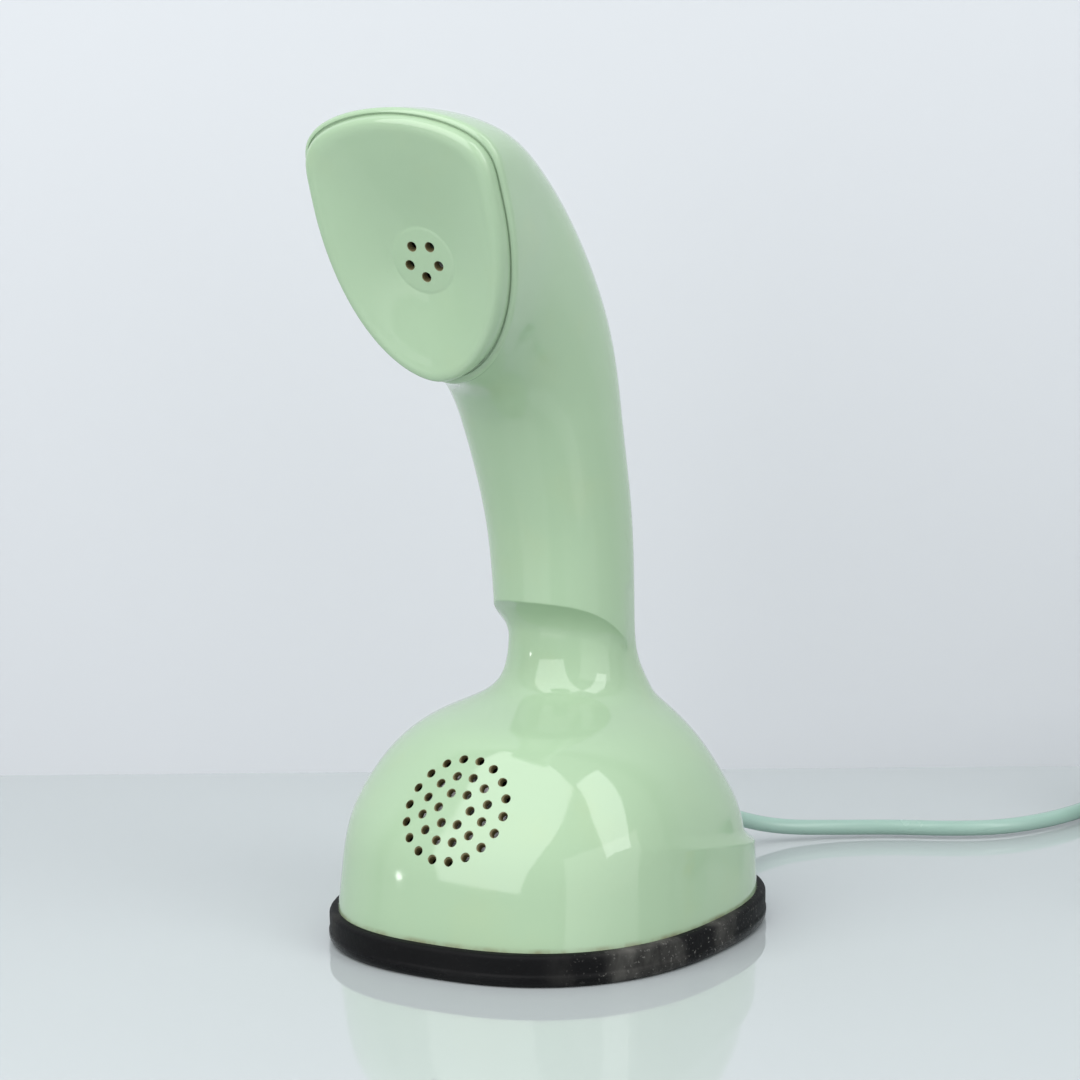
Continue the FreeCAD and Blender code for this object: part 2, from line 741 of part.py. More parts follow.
def make_finger_wheel():
    disc = cylinder(WHEEL_RADIUS, WHEEL_BOTTOM, WHEEL_TOP)
    rim = [e for e in disc.Edges if e.BoundBox.ZLength < 1e-6]
    disc = disc.makeFillet(WHEEL_THICK * 0.3, rim)
    holes = [cylinder(HUB_BORE, 0, WHEEL_TOP + 1.0)]
    for i in range(FINGER_HOLES):
        x, y = polar(FINGER_CIRCLE, FINGER_LAST + FINGER_STEP * i)
        holes.append(cylinder(FINGER_HOLE / 2, 0, WHEEL_TOP + 1.0, x, y))
        holes.append(Part.makeCone(FINGER_HOLE / 2 + 0.8, FINGER_HOLE / 2 - 0.2, 1.0,
                                   V(x, y, WHEEL_BOTTOM - 0.2), V(0, 0, 1)))
    for x, y in hub_screw_places():
        holes.append(cylinder(HUB_SCREW_SHANK + SCREW_BITE, 0, WHEEL_TOP + 1.0, x, y))
    return disc.cut(holes)


def make_hub_screws():
    length = WHEEL_THICK + HUB_FLANGE_THICK
    args = (HUB_SCREW_SHANK, length, HUB_SCREW_HEAD, HUB_SCREW_HEIGHT, SCREW_SLOT * 0.6)
    return compound([screw(*args, x, y, WHEEL_BOTTOM, -1) for x, y in hub_screw_places()])


def make_finger_stop():
    """Blade under the wheel, bent up outside it to the number ring."""
    low = WHEEL_BOTTOM - STOP_GAP - STOP_THICK
    side = [
        (WHEEL_RADIUS - STOP_REACH, low), (NUMBER_RADIUS - 1.0, low), (NUMBER_RADIUS, low + 1.0),
        (NUMBER_RADIUS, NUMBER_BOTTOM), (NUMBER_RADIUS - STOP_LEG, NUMBER_BOTTOM),
        (NUMBER_RADIUS - STOP_LEG, low + STOP_THICK), (WHEEL_RADIUS - STOP_REACH, low + STOP_THICK),
    ]
    blade = extruded([V(x, -STOP_WIDTH / 2, z) for x, z in side], V(0, STOP_WIDTH, 0))
    tip = cylinder(STOP_WIDTH / 2, low, low + STOP_THICK, WHEEL_RADIUS - STOP_REACH, 0.0)
    return turned(blade.fuse(tip).removeSplitter(), STOP_TURN)


def make_dial_shaft():
    body = cylinder(HUB_FLANGE, WHEEL_TOP, WHEEL_TOP + HUB_FLANGE_THICK)
    body = body.fuse(cylinder(HUB_TUBE, WHEEL_TOP, HUB_TOP)).removeSplitter()
    holes = [cylinder(HUB_BORE, 0, HUB_TOP + 1.0)]
    for x, y in hub_screw_places():
        top = WHEEL_TOP + HUB_FLANGE_THICK + 0.1
        holes.append(cylinder(HUB_SCREW_SHANK + SCREW_BITE, 0, top, x, y))
    return body.cut(holes)


def spring_end():
    """Radius of the outer face of the return spring at its outer end."""
    return SPRING_INNER + SPRING_HALVES * SPRING_STEP / 2 + SPRING_STRIP


def make_dial_frame():
    body = cylinder(FRAME_RADIUS, PLATE_TOP, FRAME_TOP)
    for x, y in PILLARS:
        body = body.fuse(bar(polar(FRAME_RADIUS * 0.6, math.degrees(math.atan2(y, x))), (x, y),
                             LUG, PLATE_TOP, FRAME_TOP))
    body = body.fuse(cylinder(FRAME_BOSS, PLATE_TOP, FRAME_BOSS_TOP))
    x = spring_end() + SPRING_POST + FIT
    post = cylinder(SPRING_POST, FRAME_TOP - 0.5, FRAME_TOP + SPRING_LIFT + SPRING_HEIGHT, x, 0)
    body = body.fuse(post).removeSplitter()
    holes = [cylinder(HUB_TUBE + FIT, PLATE_TOP - 1.0, FRAME_BOSS_TOP + 1.0)]
    for x, y in (IDLER, GOVERNOR):
        holes.append(cylinder(ARBOR + FIT, FRAME_TOP - 1.0, FRAME_TOP + 1.0, x, y))
    return body.cut(holes).cut(small_bores(PLATE_TOP - 1.0))


def half_ring(centre, r, start):
    """Half circle of the spiral strip, counted from the +X or the -X side."""
    a = [start, start + 90.0, start + 180.0]
    p = [V(*polar(r, t, centre, 0.0), 0) for t in a]
    return Part.Arc(*p).toShape()


def make_return_spring():
    """Flat spiral strip of half circles about two centres."""
    inner = []
    outer = []
    for i in range(SPRING_HALVES):
        centre = 0.0 if i % 2 == 0 else SPRING_STEP / 2
        r = SPRING_INNER + i * SPRING_STEP / 2
        start = 0.0 if i % 2 == 0 else 180.0
        inner.append(half_ring(centre, r, start))
        outer.append(half_ring(centre, r + SPRING_STRIP, start))
    first = Part.makeLine(inner[0].firstVertex().Point, outer[0].firstVertex().Point)
    last = Part.makeLine(nearest_end(inner), nearest_end(outer))
    wire = Part.Wire(Part.sortEdges(inner + [last] + outer + [first])[0])
    strip = Part.Face(wire).extrude(V(0, 0, SPRING_HEIGHT))
    strip.translate(V(0, 0, FRAME_TOP + SPRING_LIFT))
    return strip


def nearest_end(arcs):
    """Free end of the last arc in a row of joined arcs."""
    before = [v.Point for v in arcs[-2].Vertexes]
    for v in arcs[-1].Vertexes:
        if min(v.Point.distanceToPoint(p) for p in before) > 1e-3:
            return v.Point
    return arcs[-1].Vertexes[-1].Point


def gear(module, teeth, z0, z1, centre, phase, bore):
    """Spur gear with straight flanked teeth; one tooth points along the phase."""
    pitch = module * teeth / 2
    tip = pitch + 0.8 * module
    root = pitch - 1.15 * module
    half = math.pi / teeth * 2.0 * TOOTH_SHARE / 2
    wide = half * pitch / root * 1.25
    narrow = half * pitch / tip * 0.52
    pts = []
    for i in range(teeth):
        c = math.radians(phase) + 2.0 * math.pi * i / teeth
        for r, w in ((root, -wide), (tip, -narrow), (tip, narrow), (root, wide)):
            pts.append(V(centre[0] + r * math.cos(c + w), centre[1] + r * math.sin(c + w), z0))
    return extruded(pts, V(0, 0, z1 - z0)).cut(cylinder(bore, z0 - 1.0, z1 + 1.0, *centre))


def make_drive_gear():
    return gear(MAIN_MODULE, MAIN_TEETH, GEAR_BOTTOM, GEAR_TOP, (0.0, 0.0), IDLER_TURN,
                HUB_TUBE + SCREW_BITE)


def make_shaft_ring():
    return pipe(HUB_TUBE + 2.0, HUB_TUBE + SCREW_BITE, GEAR_TOP, HUB_TOP - 0.3)


def make_arbor(place):
    return cylinder(ARBOR, FRAME_TOP - 0.95, BRIDGE_TOP, *place)


def make_idler_pinion():
    z = GEAR_BOTTOM - (PINION_THICK - GEAR_THICK) / 2
    phase = IDLER_TURN + 180.0 + 180.0 / PINION_TEETH
    return gear(MAIN_MODULE, PINION_TEETH, z, z + PINION_THICK, IDLER, phase, ARBOR + SCREW_BITE)


def make_idler_wheel():
    return gear(FAST_MODULE, FAST_TEETH, FAST_BOTTOM, FAST_BOTTOM + FAST_THICK, IDLER,
                GOVERNOR_TURN, ARBOR + SCREW_BITE)


def make_governor_pinion():
    phase = GOVERNOR_TURN + 180.0 + 180.0 / GOVERNOR_TEETH
    top = GOVERNOR_PINION_BOTTOM + GOVERNOR_PINION_THICK
    return gear(FAST_MODULE, GOVERNOR_TEETH, GOVERNOR_PINION_BOTTOM, top, GOVERNOR, phase,
                ARBOR + SCREW_BITE)


def make_impulse_cam():
    top = CAM_BOTTOM + CAM_THICK
    body = cylinder(CAM_REACH * 0.55, CAM_BOTTOM, top, *IDLER)
    for i in range(CAM_LOBES):
        tip = polar(CAM_REACH - 1.0, 360.0 * i / CAM_LOBES + 30.0, *IDLER)
        body = body.fuse(bar(IDLER, tip, 1.0, CAM_BOTTOM, top))
    return body.removeSplitter().cut(cylinder(ARBOR + SCREW_BITE, CAM_BOTTOM - 1, top + 1, *IDLER))


def make_governor_arm():
    low = WEIGHT_BOTTOM + WEIGHT_THICK
    tips = [polar(WEIGHT_REACH - ARM_HALF, a, *GOVERNOR) for a in (0.0, 180.0)]
    body = bar(tips[0], tips[1], ARM_HALF, low, low + 0.6)
    body = body.fuse(cylinder(ARBOR + 0.8, WEIGHT_BOTTOM, low + 0.6, *GOVERNOR)).removeSplitter()
    return body.cut(cylinder(ARBOR + SCREW_BITE, WEIGHT_BOTTOM - 1.0, low + 2.0, *GOVERNOR))


def make_governor_weights():
    """Two half moon weights that hang from the arm."""
    x, y = GOVERNOR
    top = WEIGHT_BOTTOM + WEIGHT_THICK
    moon = pipe(WEIGHT_REACH, WEIGHT_REACH - 2.6, WEIGHT_BOTTOM, top, x, y)
    out = []
    for s in (1, -1):
        near = x + s * 1.6
        far = x + s * 20.0
        side = block(min(near, far), max(near, far), y - 4.6, y + 4.6, 0, 40.0)
        out.append(moon.common(side).Solids[0])
    return compound(out)


def make_governor_cup():
    return pipe(CUP_RADIUS, CUP_RADIUS - CUP_WALL, CUP_BOTTOM, BRIDGE_BOTTOM, *GOVERNOR)


def make_bridge():
    a, b, c = PILLARS
    middle = ((a[0] + b[0]) / 2, (a[1] + b[1]) / 2)
    body = bar(a, b, BRIDGE_BAR, BRIDGE_BOTTOM, BRIDGE_TOP)
    for p, q in ((middle, IDLER), (b, c), (GOVERNOR, c), (a, GOVERNOR)):
        body = body.fuse(bar(p, q, BRIDGE_BAR, BRIDGE_BOTTOM, BRIDGE_TOP))
    body = body.removeSplitter()
    holes = []
    for x, y in (IDLER, GOVERNOR):
        holes.append(cylinder(ARBOR + FIT, BRIDGE_BOTTOM - 1.0, BRIDGE_TOP + 1.0, x, y))
    return body.cut(holes)


def make_pillars():
    return compound([cylinder(PILLAR, FRAME_TOP, BRIDGE_BOTTOM, x, y) for x, y in PILLARS])


def make_impulse_block():
    x0, x1, y0, y1 = IMPULSE_BLOCK
    body = block(x0, x1, y0, y1, FRAME_TOP, IMPULSE_TOP)
    return body.cut(compound(impulse_leaves(0.02)))


def impulse_leaves(grow=0.0):
    """Two contact leaves that lean towards the cam."""
    x0, x1, y0, y1 = IMPULSE_BLOCK
    z = IMPULSE_LEAF_BOTTOM
    out = []
    for i in range(2):
        leaf = block(-3.0, IMPULSE_LEAF_LENGTH, -IMPULSE_LEAF - grow, grow,
                     z - grow, z + IMPULSE_LEAF_HEIGHT + grow)
        leaf.rotate(V(0, 0, 0), V(0, 0, 1), IMPULSE_LEAF_TURN)
        leaf.translate(V(x1, y1 - 0.6 - i * IMPULSE_LEAF_STEP, 0))
        out.append(leaf)
    return out


def make_hook_button():
    body = cylinder(BUTTON_RADIUS, BUTTON_LIFT, BUTTON_TOP)
    low = [e for e in body.Edges if e.BoundBox.ZMax < BUTTON_LIFT + 1e-6]
    body = body.makeFillet(BUTTON_ROUND, low)
    hollow = pipe(BUTTON_RADIUS - 2.0, STEM_RADIUS + 2.4, BUTTON_LIFT + 2.4, BUTTON_TOP + 1.0)
    body = body.cut(hollow)
    return body.fuse(cylinder(STEM_RADIUS, BUTTON_TOP - 1.0, STEM_TOP)).removeSplitter()


def make_plunger_spring():
    return pipe(PLUNGER_SPRING, PLUNGER_SPRING_BORE, BUTTON_TOP + LEVER_GAP,
                STRAP_BOTTOM - LEVER_GAP)


def make_switch_strap():
    """Bent strap over the dial, with feet and two ears for the lever."""
    r = STRAP_REACH + STRAP_THICK / 2
    inner = r - STRAP_THICK
    foot = r + STRAP_FOOT
    top = PLATE_TOP + STRAP_THICK
    side = [
        (-foot, PLATE_TOP), (-inner, PLATE_TOP), (-inner, STRAP_BOTTOM), (inner, STRAP_BOTTOM),
        (inner, PLATE_TOP), (foot, PLATE_TOP), (foot, top), (r, top), (r, STRAP_TOP),
        (-r, STRAP_TOP), (-r, top), (-foot, top),
    ]
    body = extruded([V(x, -STRAP_HALF, z) for x, z in side], V(0, 2.0 * STRAP_HALF, 0))
    for s in (1, -1):
        near, far = sorted((s * EAR_INNER, s * EAR_OUTER))
        ear = block(LEVER_X - EAR_HALF, LEVER_X + EAR_HALF, near, far, STRAP_TOP - 0.5, LEVER_Z)
        ear = ear.fuse(rod(EAR_HALF, V(LEVER_X, near, LEVER_Z), V(0, 1, 0), far - near))
        body = body.fuse(ear)
    body = body.removeSplitter()
    pin = rod(LEVER_PIN + SCREW_BITE, V(LEVER_X, -20.0, LEVER_Z), V(0, 1, 0), 40.0)
    stem = cylinder(STEM_RADIUS + FIT, STRAP_BOTTOM - 1.0, STRAP_TOP + 1.0)
    return body.cut([pin, stem]).cut(small_bores(PLATE_TOP - 1.0))


def make_hinge_pin():
    return rod(LEVER_PIN, V(LEVER_X, -EAR_OUTER - 0.4, LEVER_Z), V(0, 1, 0),
               2.0 * EAR_OUTER + 0.8)


def make_switch_lever():
    low = STEM_TOP + LEVER_GAP
    body = block(LEVER_NEAR, LEVER_FAR, -LEVER_HALF, LEVER_HALF, low, low + LEVER_THICK)
    barrel = rod(LEVER_BARREL, V(LEVER_X, -LEVER_HALF, LEVER_Z), V(0, 1, 0), 2.0 * LEVER_HALF)
    body = body.fuse(barrel).removeSplitter()
    return body.cut(rod(LEVER_PIN + FIT, V(LEVER_X, -20.0, LEVER_Z), V(0, 1, 0), 40.0))


def leaf_levels():
    return [STRAP_TOP + LEAF_GAP + i * (LEAF_THICK + LEAF_GAP) for i in range(LEAVES)]


def make_contact_leaves():
    out = []
    for z in leaf_levels():
        leaf = block(LEAF_NEAR, STACK_FAR + 2.0, -LEAF_HALF, LEAF_HALF, z, z + LEAF_THICK)
        tip = cylinder(0.8, z, z + LEAF_THICK + 0.4, LEAF_NEAR + 1.5, 0.0)
        out.append(leaf.fuse(tip).removeSplitter())
    return compound(out)


def make_contact_insulators():
    out = []
    z = STRAP_TOP
    for level in leaf_levels() + [None]:
        top = level if level is not None else z + LEAF_GAP
        out.append(block(STACK_NEAR, STACK_FAR, -STACK_HALF, STACK_HALF, z, top))
        z = top + LEAF_THICK
    return compound(out)


def coil_axis():
    return STRAP_TOP + COIL_CHEEK_HALF


def make_coil_bobbin():
    z = coil_axis()
    h = COIL_CHEEK_HALF
    left = block(COIL_FAR, COIL_FAR + COIL_CHEEK, -h, h, z - h, z + h)
    right = block(COIL_NEAR - COIL_CHEEK, COIL_NEAR, -h, h, z - h, z + h)
    tube = rod(COIL_TUBE, V(COIL_FAR, 0, z), V(1, 0, 0), COIL_NEAR - COIL_FAR)
    body = left.fuse([right, tube]).removeSplitter()
    bore = rod(COIL_CORE + SCREW_BITE, V(COIL_FAR - 5.0, 0, z), V(1, 0, 0), 60.0)
    return body.cut(bore)


def make_coil_core():
    start = V(COIL_FAR - CORE_PAST, 0, coil_axis())
    return rod(COIL_CORE, start, V(1, 0, 0), COIL_NEAR - COIL_FAR + 2.0 * CORE_PAST)


def make_coil_winding():
    length = COIL_NEAR - COIL_FAR - 2.0 * (COIL_CHEEK + SCREW_BITE)
    start = V(COIL_FAR + COIL_CHEEK + SCREW_BITE, 0, coil_axis())
    body = rod(COIL_WOUND, start, V(1, 0, 0), length)
    return body.cut(rod(COIL_TUBE + SCREW_BITE, start - V(1, 0, 0), V(1, 0, 0), length + 2.0))


def make_capacitor():
    x0, x1, y0, y1 = CAPACITOR
    body = block(x0, x1, y0, y1, PLATE_TOP, PLATE_TOP + CAPACITOR_HEIGHT)
    upright = [e for e in body.Edges if e.BoundBox.ZLength > CAPACITOR_HEIGHT - 1e-6]
    return body.makeFillet(CAPACITOR_ROUND, upright)


def terminal_places():
    middle = (TERMINAL_FRONT + TERMINAL_BACK) / 2
    first = -TERMINAL_STEP * (TERMINAL_SCREWS - 1) / 2
    places = [(first + TERMINAL_STEP * i, middle) for i in range(TERMINAL_SCREWS)]
    return [(x + TERMINAL_SHIFT, y) for x, y in places]


def make_terminal_block():
    top = PLATE_TOP + TERMINAL_HEIGHT
    body = block(-TERMINAL_HALF, TERMINAL_HALF, TERMINAL_FRONT, TERMINAL_BACK, PLATE_TOP, top)
    holes = []
    for x, y in terminal_places():
        holes.append(cylinder(SMALL_SHANK + SCREW_BITE, top - 4.0, top + 1.0, x, y))
        holes.append(block(x + TERMINAL_STEP / 2 - 0.4, x + TERMINAL_STEP / 2 + 0.4,
                           TERMINAL_FRONT - 1.0, TERMINAL_BACK + 1.0, top - 1.5, top + 1.0))
    return body.cut(holes[:-1])


def make_terminal_screws():
    top = PLATE_TOP + TERMINAL_HEIGHT
    args = (SMALL_SHANK, 3.6, SMALL_HEAD, SMALL_HEAD_HEIGHT, SCREW_SLOT)
    return compound([screw(*args, x, y, top, 1) for x, y in terminal_places()])


def make_transmitter():
    face = GRILLE_CENTRE - GRILLE_OUT * MOUTH_SETBACK
    back = face - GRILLE_OUT * MOUTH_DEPTH
    body = rod(MOUTH_RADIUS, face, GRILLE_OUT * -1.0, MOUTH_DEPTH)
    rim = [e for e in body.Edges if e.Closed]
    body = body.makeFillet(1.0, rim[:1])
    return body.fuse(rod(MOUTH_BACK_RADIUS, back, GRILLE_OUT * -1.0, MOUTH_BACK_DEPTH)).removeSplitter()


def make_transmitter_ring():
    face = GRILLE_CENTRE - GRILLE_OUT * MOUTH_SETBACK
    body = rod(MOUTH_RADIUS - 1.2, face, GRILLE_OUT, MOUTH_PAD_THICK)
    return body.cut(rod(MOUTH_PAD_BORE, face - GRILLE_OUT, GRILLE_OUT, MOUTH_PAD_THICK + 2.0))


def make_transmitter_bracket():
    """Bent strip from the base plate up the back of the transmitter."""
    t = BRACKET_THICK
    top = GRILLE_BACK + GRILLE_UP * 5.0
    back = GRILLE_OUT * -t
    y = BRACKET_LOW.y
    bend = BRACKET_LOW + back + GRILLE_UP * ((t - back.y) / GRILLE_UP.y)
    side = [
        (top.y, top.z), (BRACKET_LOW.y, BRACKET_LOW.z), (y, PLATE_TOP + t),
        (y - BRACKET_FOOT, PLATE_TOP + t), (y - BRACKET_FOOT, PLATE_TOP), (y + t, PLATE_TOP),
        (y + t, bend.z), (top.y + back.y, top.z + back.z),
    ]
    body = extruded([V(-BRACKET_HALF, p, q) for p, q in side], V(2.0 * BRACKET_HALF, 0, 0))
    return body.cut(small_bores(PLATE_TOP - 1.0))


def make_receiver():
    body = rod(EAR_RADIUS, EAR_FACE, SEAM_OUT * -1.0, EAR_DEPTH)
    rim = [e for e in body.Edges if e.Closed]
    body = body.makeFillet(1.0, rim[:1])
    back = EAR_FACE - SEAM_OUT * EAR_DEPTH
    return body.fuse(rod(EAR_BACK_RADIUS, back, SEAM_OUT * -1.0, EAR_BACK_DEPTH)).removeSplitter()


def make_receiver_pad():
    body = rod(EAR_RADIUS - 1.2, EAR_FACE, SEAM_OUT, PAD_THICK)
    return body.cut(rod(EAR_PAD_BORE, EAR_FACE - SEAM_OUT, SEAM_OUT, PAD_THICK + 2.0))


def make_receiver_clip():
    """Flat spring across the head behind the receiver."""
    reach = HEAD[-1][3] - WALL - CLIP_GAP
    centre = EAR_BACK + SEAM_UP * CLIP_RISE
    p = centre - SEAM_UP * (CLIP_WIDTH / 2)
    box = Part.makeBox(2.0 * reach, CLIP_WIDTH, CLIP_THICK)
    spin = FreeCAD.Matrix(
        1, 0, 0, -reach + p.x,
        0, SEAM_UP.y, -SEAM_OUT.y, p.y,
        0, SEAM_UP.z, -SEAM_OUT.z, p.z,
        0, 0, 0, 1)
    return box.transformGeometry(spin)


def arc_path(points, least=0.0):
    """Straight runs joined by tangent arcs as large as the runs allow."""
    edges = []
    last = points[0]
    radii = []
    for a, b, c in zip(points, points[1:], points[2:]):
        u = (b - a).normalize()
        w = (c - b).normalize()
        turn = math.acos(max(-1.0, min(1.0, u.dot(w))))
        run = min((b - a).Length, (c - b).Length)
        tangent = 0.45 * run
        radius = tangent / math.tan(turn / 2)
        radii.append(radius)
        start = b - u * tangent
        end = b + w * tangent
        inward = (w - u).normalize()
        middle = b + inward * (radius / math.cos(turn / 2) - radius)
        edges.append(Part.LineSegment(last, start).toShape())
        edges.append(Part.Arc(start, middle, end).toShape())
        last = end
    edges.append(Part.LineSegment(last, points[-1]).toShape())
    return Part.Wire(edges), radii


def swept(path, radius, start, direction):
    """Round tube along a path of lines and arcs."""
    ring = Part.Wire([Part.Circle(start, direction, radius).toShape()])
    tube = path.makePipeShell([ring], True, False)
    solid = tube if tube.ShapeType == "Solid" else Part.Solid(Part.Shell(tube.Faces))
    if solid.Volume < 0:
        solid.reverse()
    return solid


def tube_on(points, radius, name):
    path, radii = arc_path(points)
    solid = swept(path, radius, points[0], points[1] - points[0])
    share = solid.Volume / (math.pi * radius ** 2 * path.Length)
    print("%s length %.1f, volume share %.4f, smallest radius %.1f, radii %s"
          % (name, path.Length, share, min(radii), [round(r, 1) for r in radii]))
    return solid


def make_receiver_lead():
    """Flexible lead from the terminals up the hollow neck to the receiver."""
    top = PLATE_TOP + TERMINAL_HEIGHT
    y = (TERMINAL_FRONT + TERMINAL_BACK) / 2
    end = EAR_BACK - SEAM_UP * LEAD_EXIT
    points = [V(LEAD_X, y, top), V(LEAD_X, y, top + 16.0)]
    points += [V(*p) for p in LEAD_ROUTE]
    points += [end - SEAM_OUT * LEAD_STRAIGHT, end]
    return tube_on(points, LEAD_RADIUS, "receiver lead")


def make_gland():
    """Flange inside the wall, neck through it and tapered sleeve outside."""
    z = CORD_Z
    out = V(0, 1, 0)
    front = GLAND_FLANGE_BACK - GLAND_FLANGE_THICK
    flange = rod(GLAND_FLANGE, V(0, front, z), out, GLAND_FLANGE_THICK)
    flange = flange.common(block(-20, 20, 0, 100, PLATE_TOP + RUN_GAP, 40))
    neck = rod(GLAND_NECK, V(0, front, z), out, GLAND_START - front + 0.5)
    sleeve = Part.makeCone(GLAND_BASE, GLAND_TIP, GLAND_END - GLAND_START,
                           V(0, GLAND_START, z), out)
    return flange.fuse([neck, sleeve]).removeSplitter()


def make_cord_tail():
    front = GLAND_FLANGE_BACK - GLAND_FLANGE_THICK
    return rod(CORD_RADIUS, V(0, TERMINAL_BACK, CORD_Z), V(0, 1, 0), front - TERMINAL_BACK)


def loop_state(t):
    """Radius, height, angle and their rates after t turns of the coil."""
    n = LOOP_TURNS
    wide = LOOP_MEAN + LOOP_STEP * n / 2
    layer = min(LOOP_LAYERS - 1, int(t // n))
    inside = t - layer * n
    sign = -1.0 if layer % 2 == 0 else 1.0
    base = wide if layer % 2 == 0 else wide - LOOP_STEP * n
    radius = base + sign * LOOP_STEP * inside
    rise = 0.0
    slope = 0.0
    for k in range(1, LOOP_LAYERS):
        u = (t - k * n + 0.25) / 0.5
        s = min(1.0, max(0.0, u))
        rise += LOOP_STEP * (s * s * (3.0 - 2.0 * s))
        slope += LOOP_STEP * 6.0 * s * (1.0 - s) / 0.5 if 0.0 < u < 1.0 else 0.0
    near = abs(t - round(t / n) * n) < 1e-9 and 0.0 < t < LOOP_LAYERS * n
    rate = 0.0 if near or t <= 0.0 or t >= LOOP_LAYERS * n else sign * LOOP_STEP
    angle = math.pi - 2.0 * math.pi * t
    point = V(LOOP_X + radius * math.cos(angle), LOOP_Y + radius * math.sin(angle), LOOP_Z + rise)
    turn = -2.0 * math.pi
    dx = rate * math.cos(angle) - radius * math.sin(angle) * turn
    dy = rate * math.sin(angle) + radius * math.cos(angle) * turn
    return point, V(dx, dy, slope).normalize()


def biarc(p, s, q, e):
    """Two tangent arcs from p along s to q along e."""
    v = q - p
    a = 2.0 * s.dot(e) - 2.0
    b = -2.0 * v.dot(s + e)
    c = v.dot(v)
    if abs(a) < 1e-9:
        d = -c / b
    else:
        root = math.sqrt(b * b - 4.0 * a * c)
        d = min(x for x in ((-b + root) / (2 * a), (-b - root) / (2 * a)) if x > 0)
    first = p + s * d
    second = q - e * d
    joint = (first + second) * 0.5
    return [half_arc(p, first, joint, d), half_arc(joint, second, q, d)]


def half_arc(p, corner, q, d):
    chord = (p + q) * 0.5
    across = corner - chord
    phi = math.asin(min(1.0, across.Length / d))
    middle = corner - across.normalize() * (d * math.tan(phi / 2))
    return Part.Arc(p, middle, q).toShape()


def loop_stations():
    """Turn counts where two arcs of the coil's path begin, a quarter turn apart at most."""
    total = LOOP_LAYERS * LOOP_TURNS
    marks = {0.0, total}
    for k in range(LOOP_LAYERS + 1):
        for step in (-0.25, 0.0, 0.25):
            t = k * LOOP_TURNS + step
            if 0.0 < t < total:
                marks.add(t)
    marks = sorted(marks)
    out = []
    for a, b in zip(marks, marks[1:]):
        parts = max(1, math.ceil((b - a) / 0.25 - 1e-9))
        out += [a + (b - a) * i / parts for i in range(parts)]
    return out + [total]


def make_cord_coil():
    """Put-away loops in layers, one unbroken tube with straight ends."""
    stations = loop_stations()
    states = [loop_state(t) for t in stations]
    edges = []
    for (p, s), (q, e) in zip(states, states[1:]):
        edges += biarc(p, s, q, e)
    p, s = states[0]
    q, e = states[-1]
    lead = 2.0 * CORD_RADIUS
    start = p - s * lead
    edges.insert(0, Part.LineSegment(start, p).toShape())
    edges.append(Part.LineSegment(q, q + e * lead).toShape())
    path = Part.Wire(edges)
    solid = swept(path, CORD_RADIUS, start, s)
    print("coil length %.1f, volume share %.4f, least gap %.2f"
          % (path.Length, solid.Volume / (math.pi * CORD_RADIUS ** 2 * path.Length), loop_gap()))
    return solid


def loop_gap():
    """Least clear distance between turns of the coil, measured on points."""
    total = LOOP_LAYERS * LOOP_TURNS
    per_turn = 72
    pts = [loop_state(i / per_turn)[0] for i in range(int(total * per_turn))]
    least = 1e9
    for i, p in enumerate(pts):
        for q in pts[i + per_turn // 2:]:
            least = min(least, p.distanceToPoint(q))
    return least - 2.0 * CORD_RADIUS


def loop_ends():
    """Where the free cord meets the coil's straight ends, with the directions there."""
    lead = 2.0 * CORD_RADIUS
    p, s = loop_state(0.0)
    q, e = loop_state(LOOP_LAYERS * LOOP_TURNS)
    return p - s * lead, s, q + e * lead, e


def make_line_cord():
    start, along, end, away = loop_ends()
    points = [V(*p) for p in CORD_ROUTE] + [start - along * JOIN_STRAIGHT, start]
    return tube_on(points, CORD_RADIUS, "line cord")


def make_cord_end():
    start, along, end, away = loop_ends()
    plug = V(PLUG_X, PLUG_Y + PLUG_SLEEVE, PLUG_Z)
    points = [end, end + away * END_STRAIGHT] + [V(*p) for p in END_ROUTE]
    points += [plug + V(0, END_STRAIGHT, 0), plug]
    return tube_on(points, CORD_RADIUS, "cord end")


def rounded(w, h, r):
    """Closed outline of a rectangle with round corners, centred, in the YZ plane."""
    edges = []
    corners = ((w / 2 - r, h / 2 - r, 0), (-w / 2 + r, h / 2 - r, 90),
               (-w / 2 + r, -h / 2 + r, 180), (w / 2 - r, -h / 2 + r, 270))
    pts = []
    for y, z, a in corners:
        arc = [V(0, *polar(r, a + t, y, z)) for t in (0.0, 45.0, 90.0)]
        pts.append((arc[0], arc[2]))
        edges.append(Part.Arc(*arc).toShape())
    for i in range(4):
        edges.append(Part.LineSegment(pts[i][1], pts[(i + 1) % 4][0]).toShape())
    return Part.Wire(Part.sortEdges(edges)[0])


def make_coil_tie():
    """Closed band round all turns at one place of the coil."""
    spread = LOOP_STEP * LOOP_TURNS + 2.0 * CORD_RADIUS
    height = LOOP_STEP * (LOOP_LAYERS - 1) + 2.0 * CORD_RADIUS
    curve = TIE_WIDTH ** 2 / 8.0 / (LOOP_MEAN - spread / 2)
    w = spread + 2.0 * TIE_GAP + curve
    h = height + 2.0 * TIE_GAP
    inner = Part.Face(rounded(w, h, TIE_ROUND))
    outer = Part.Face(rounded(w + 2 * TIE_THICK, h + 2 * TIE_THICK, TIE_ROUND + TIE_THICK))
    band = outer.cut(inner).extrude(V(TIE_WIDTH, 0, 0))
    z = LOOP_Z + LOOP_STEP * (LOOP_LAYERS - 1) / 2
    band.translate(V(LOOP_X - TIE_WIDTH / 2, LOOP_Y + LOOP_MEAN - curve / 2, z))
    return band


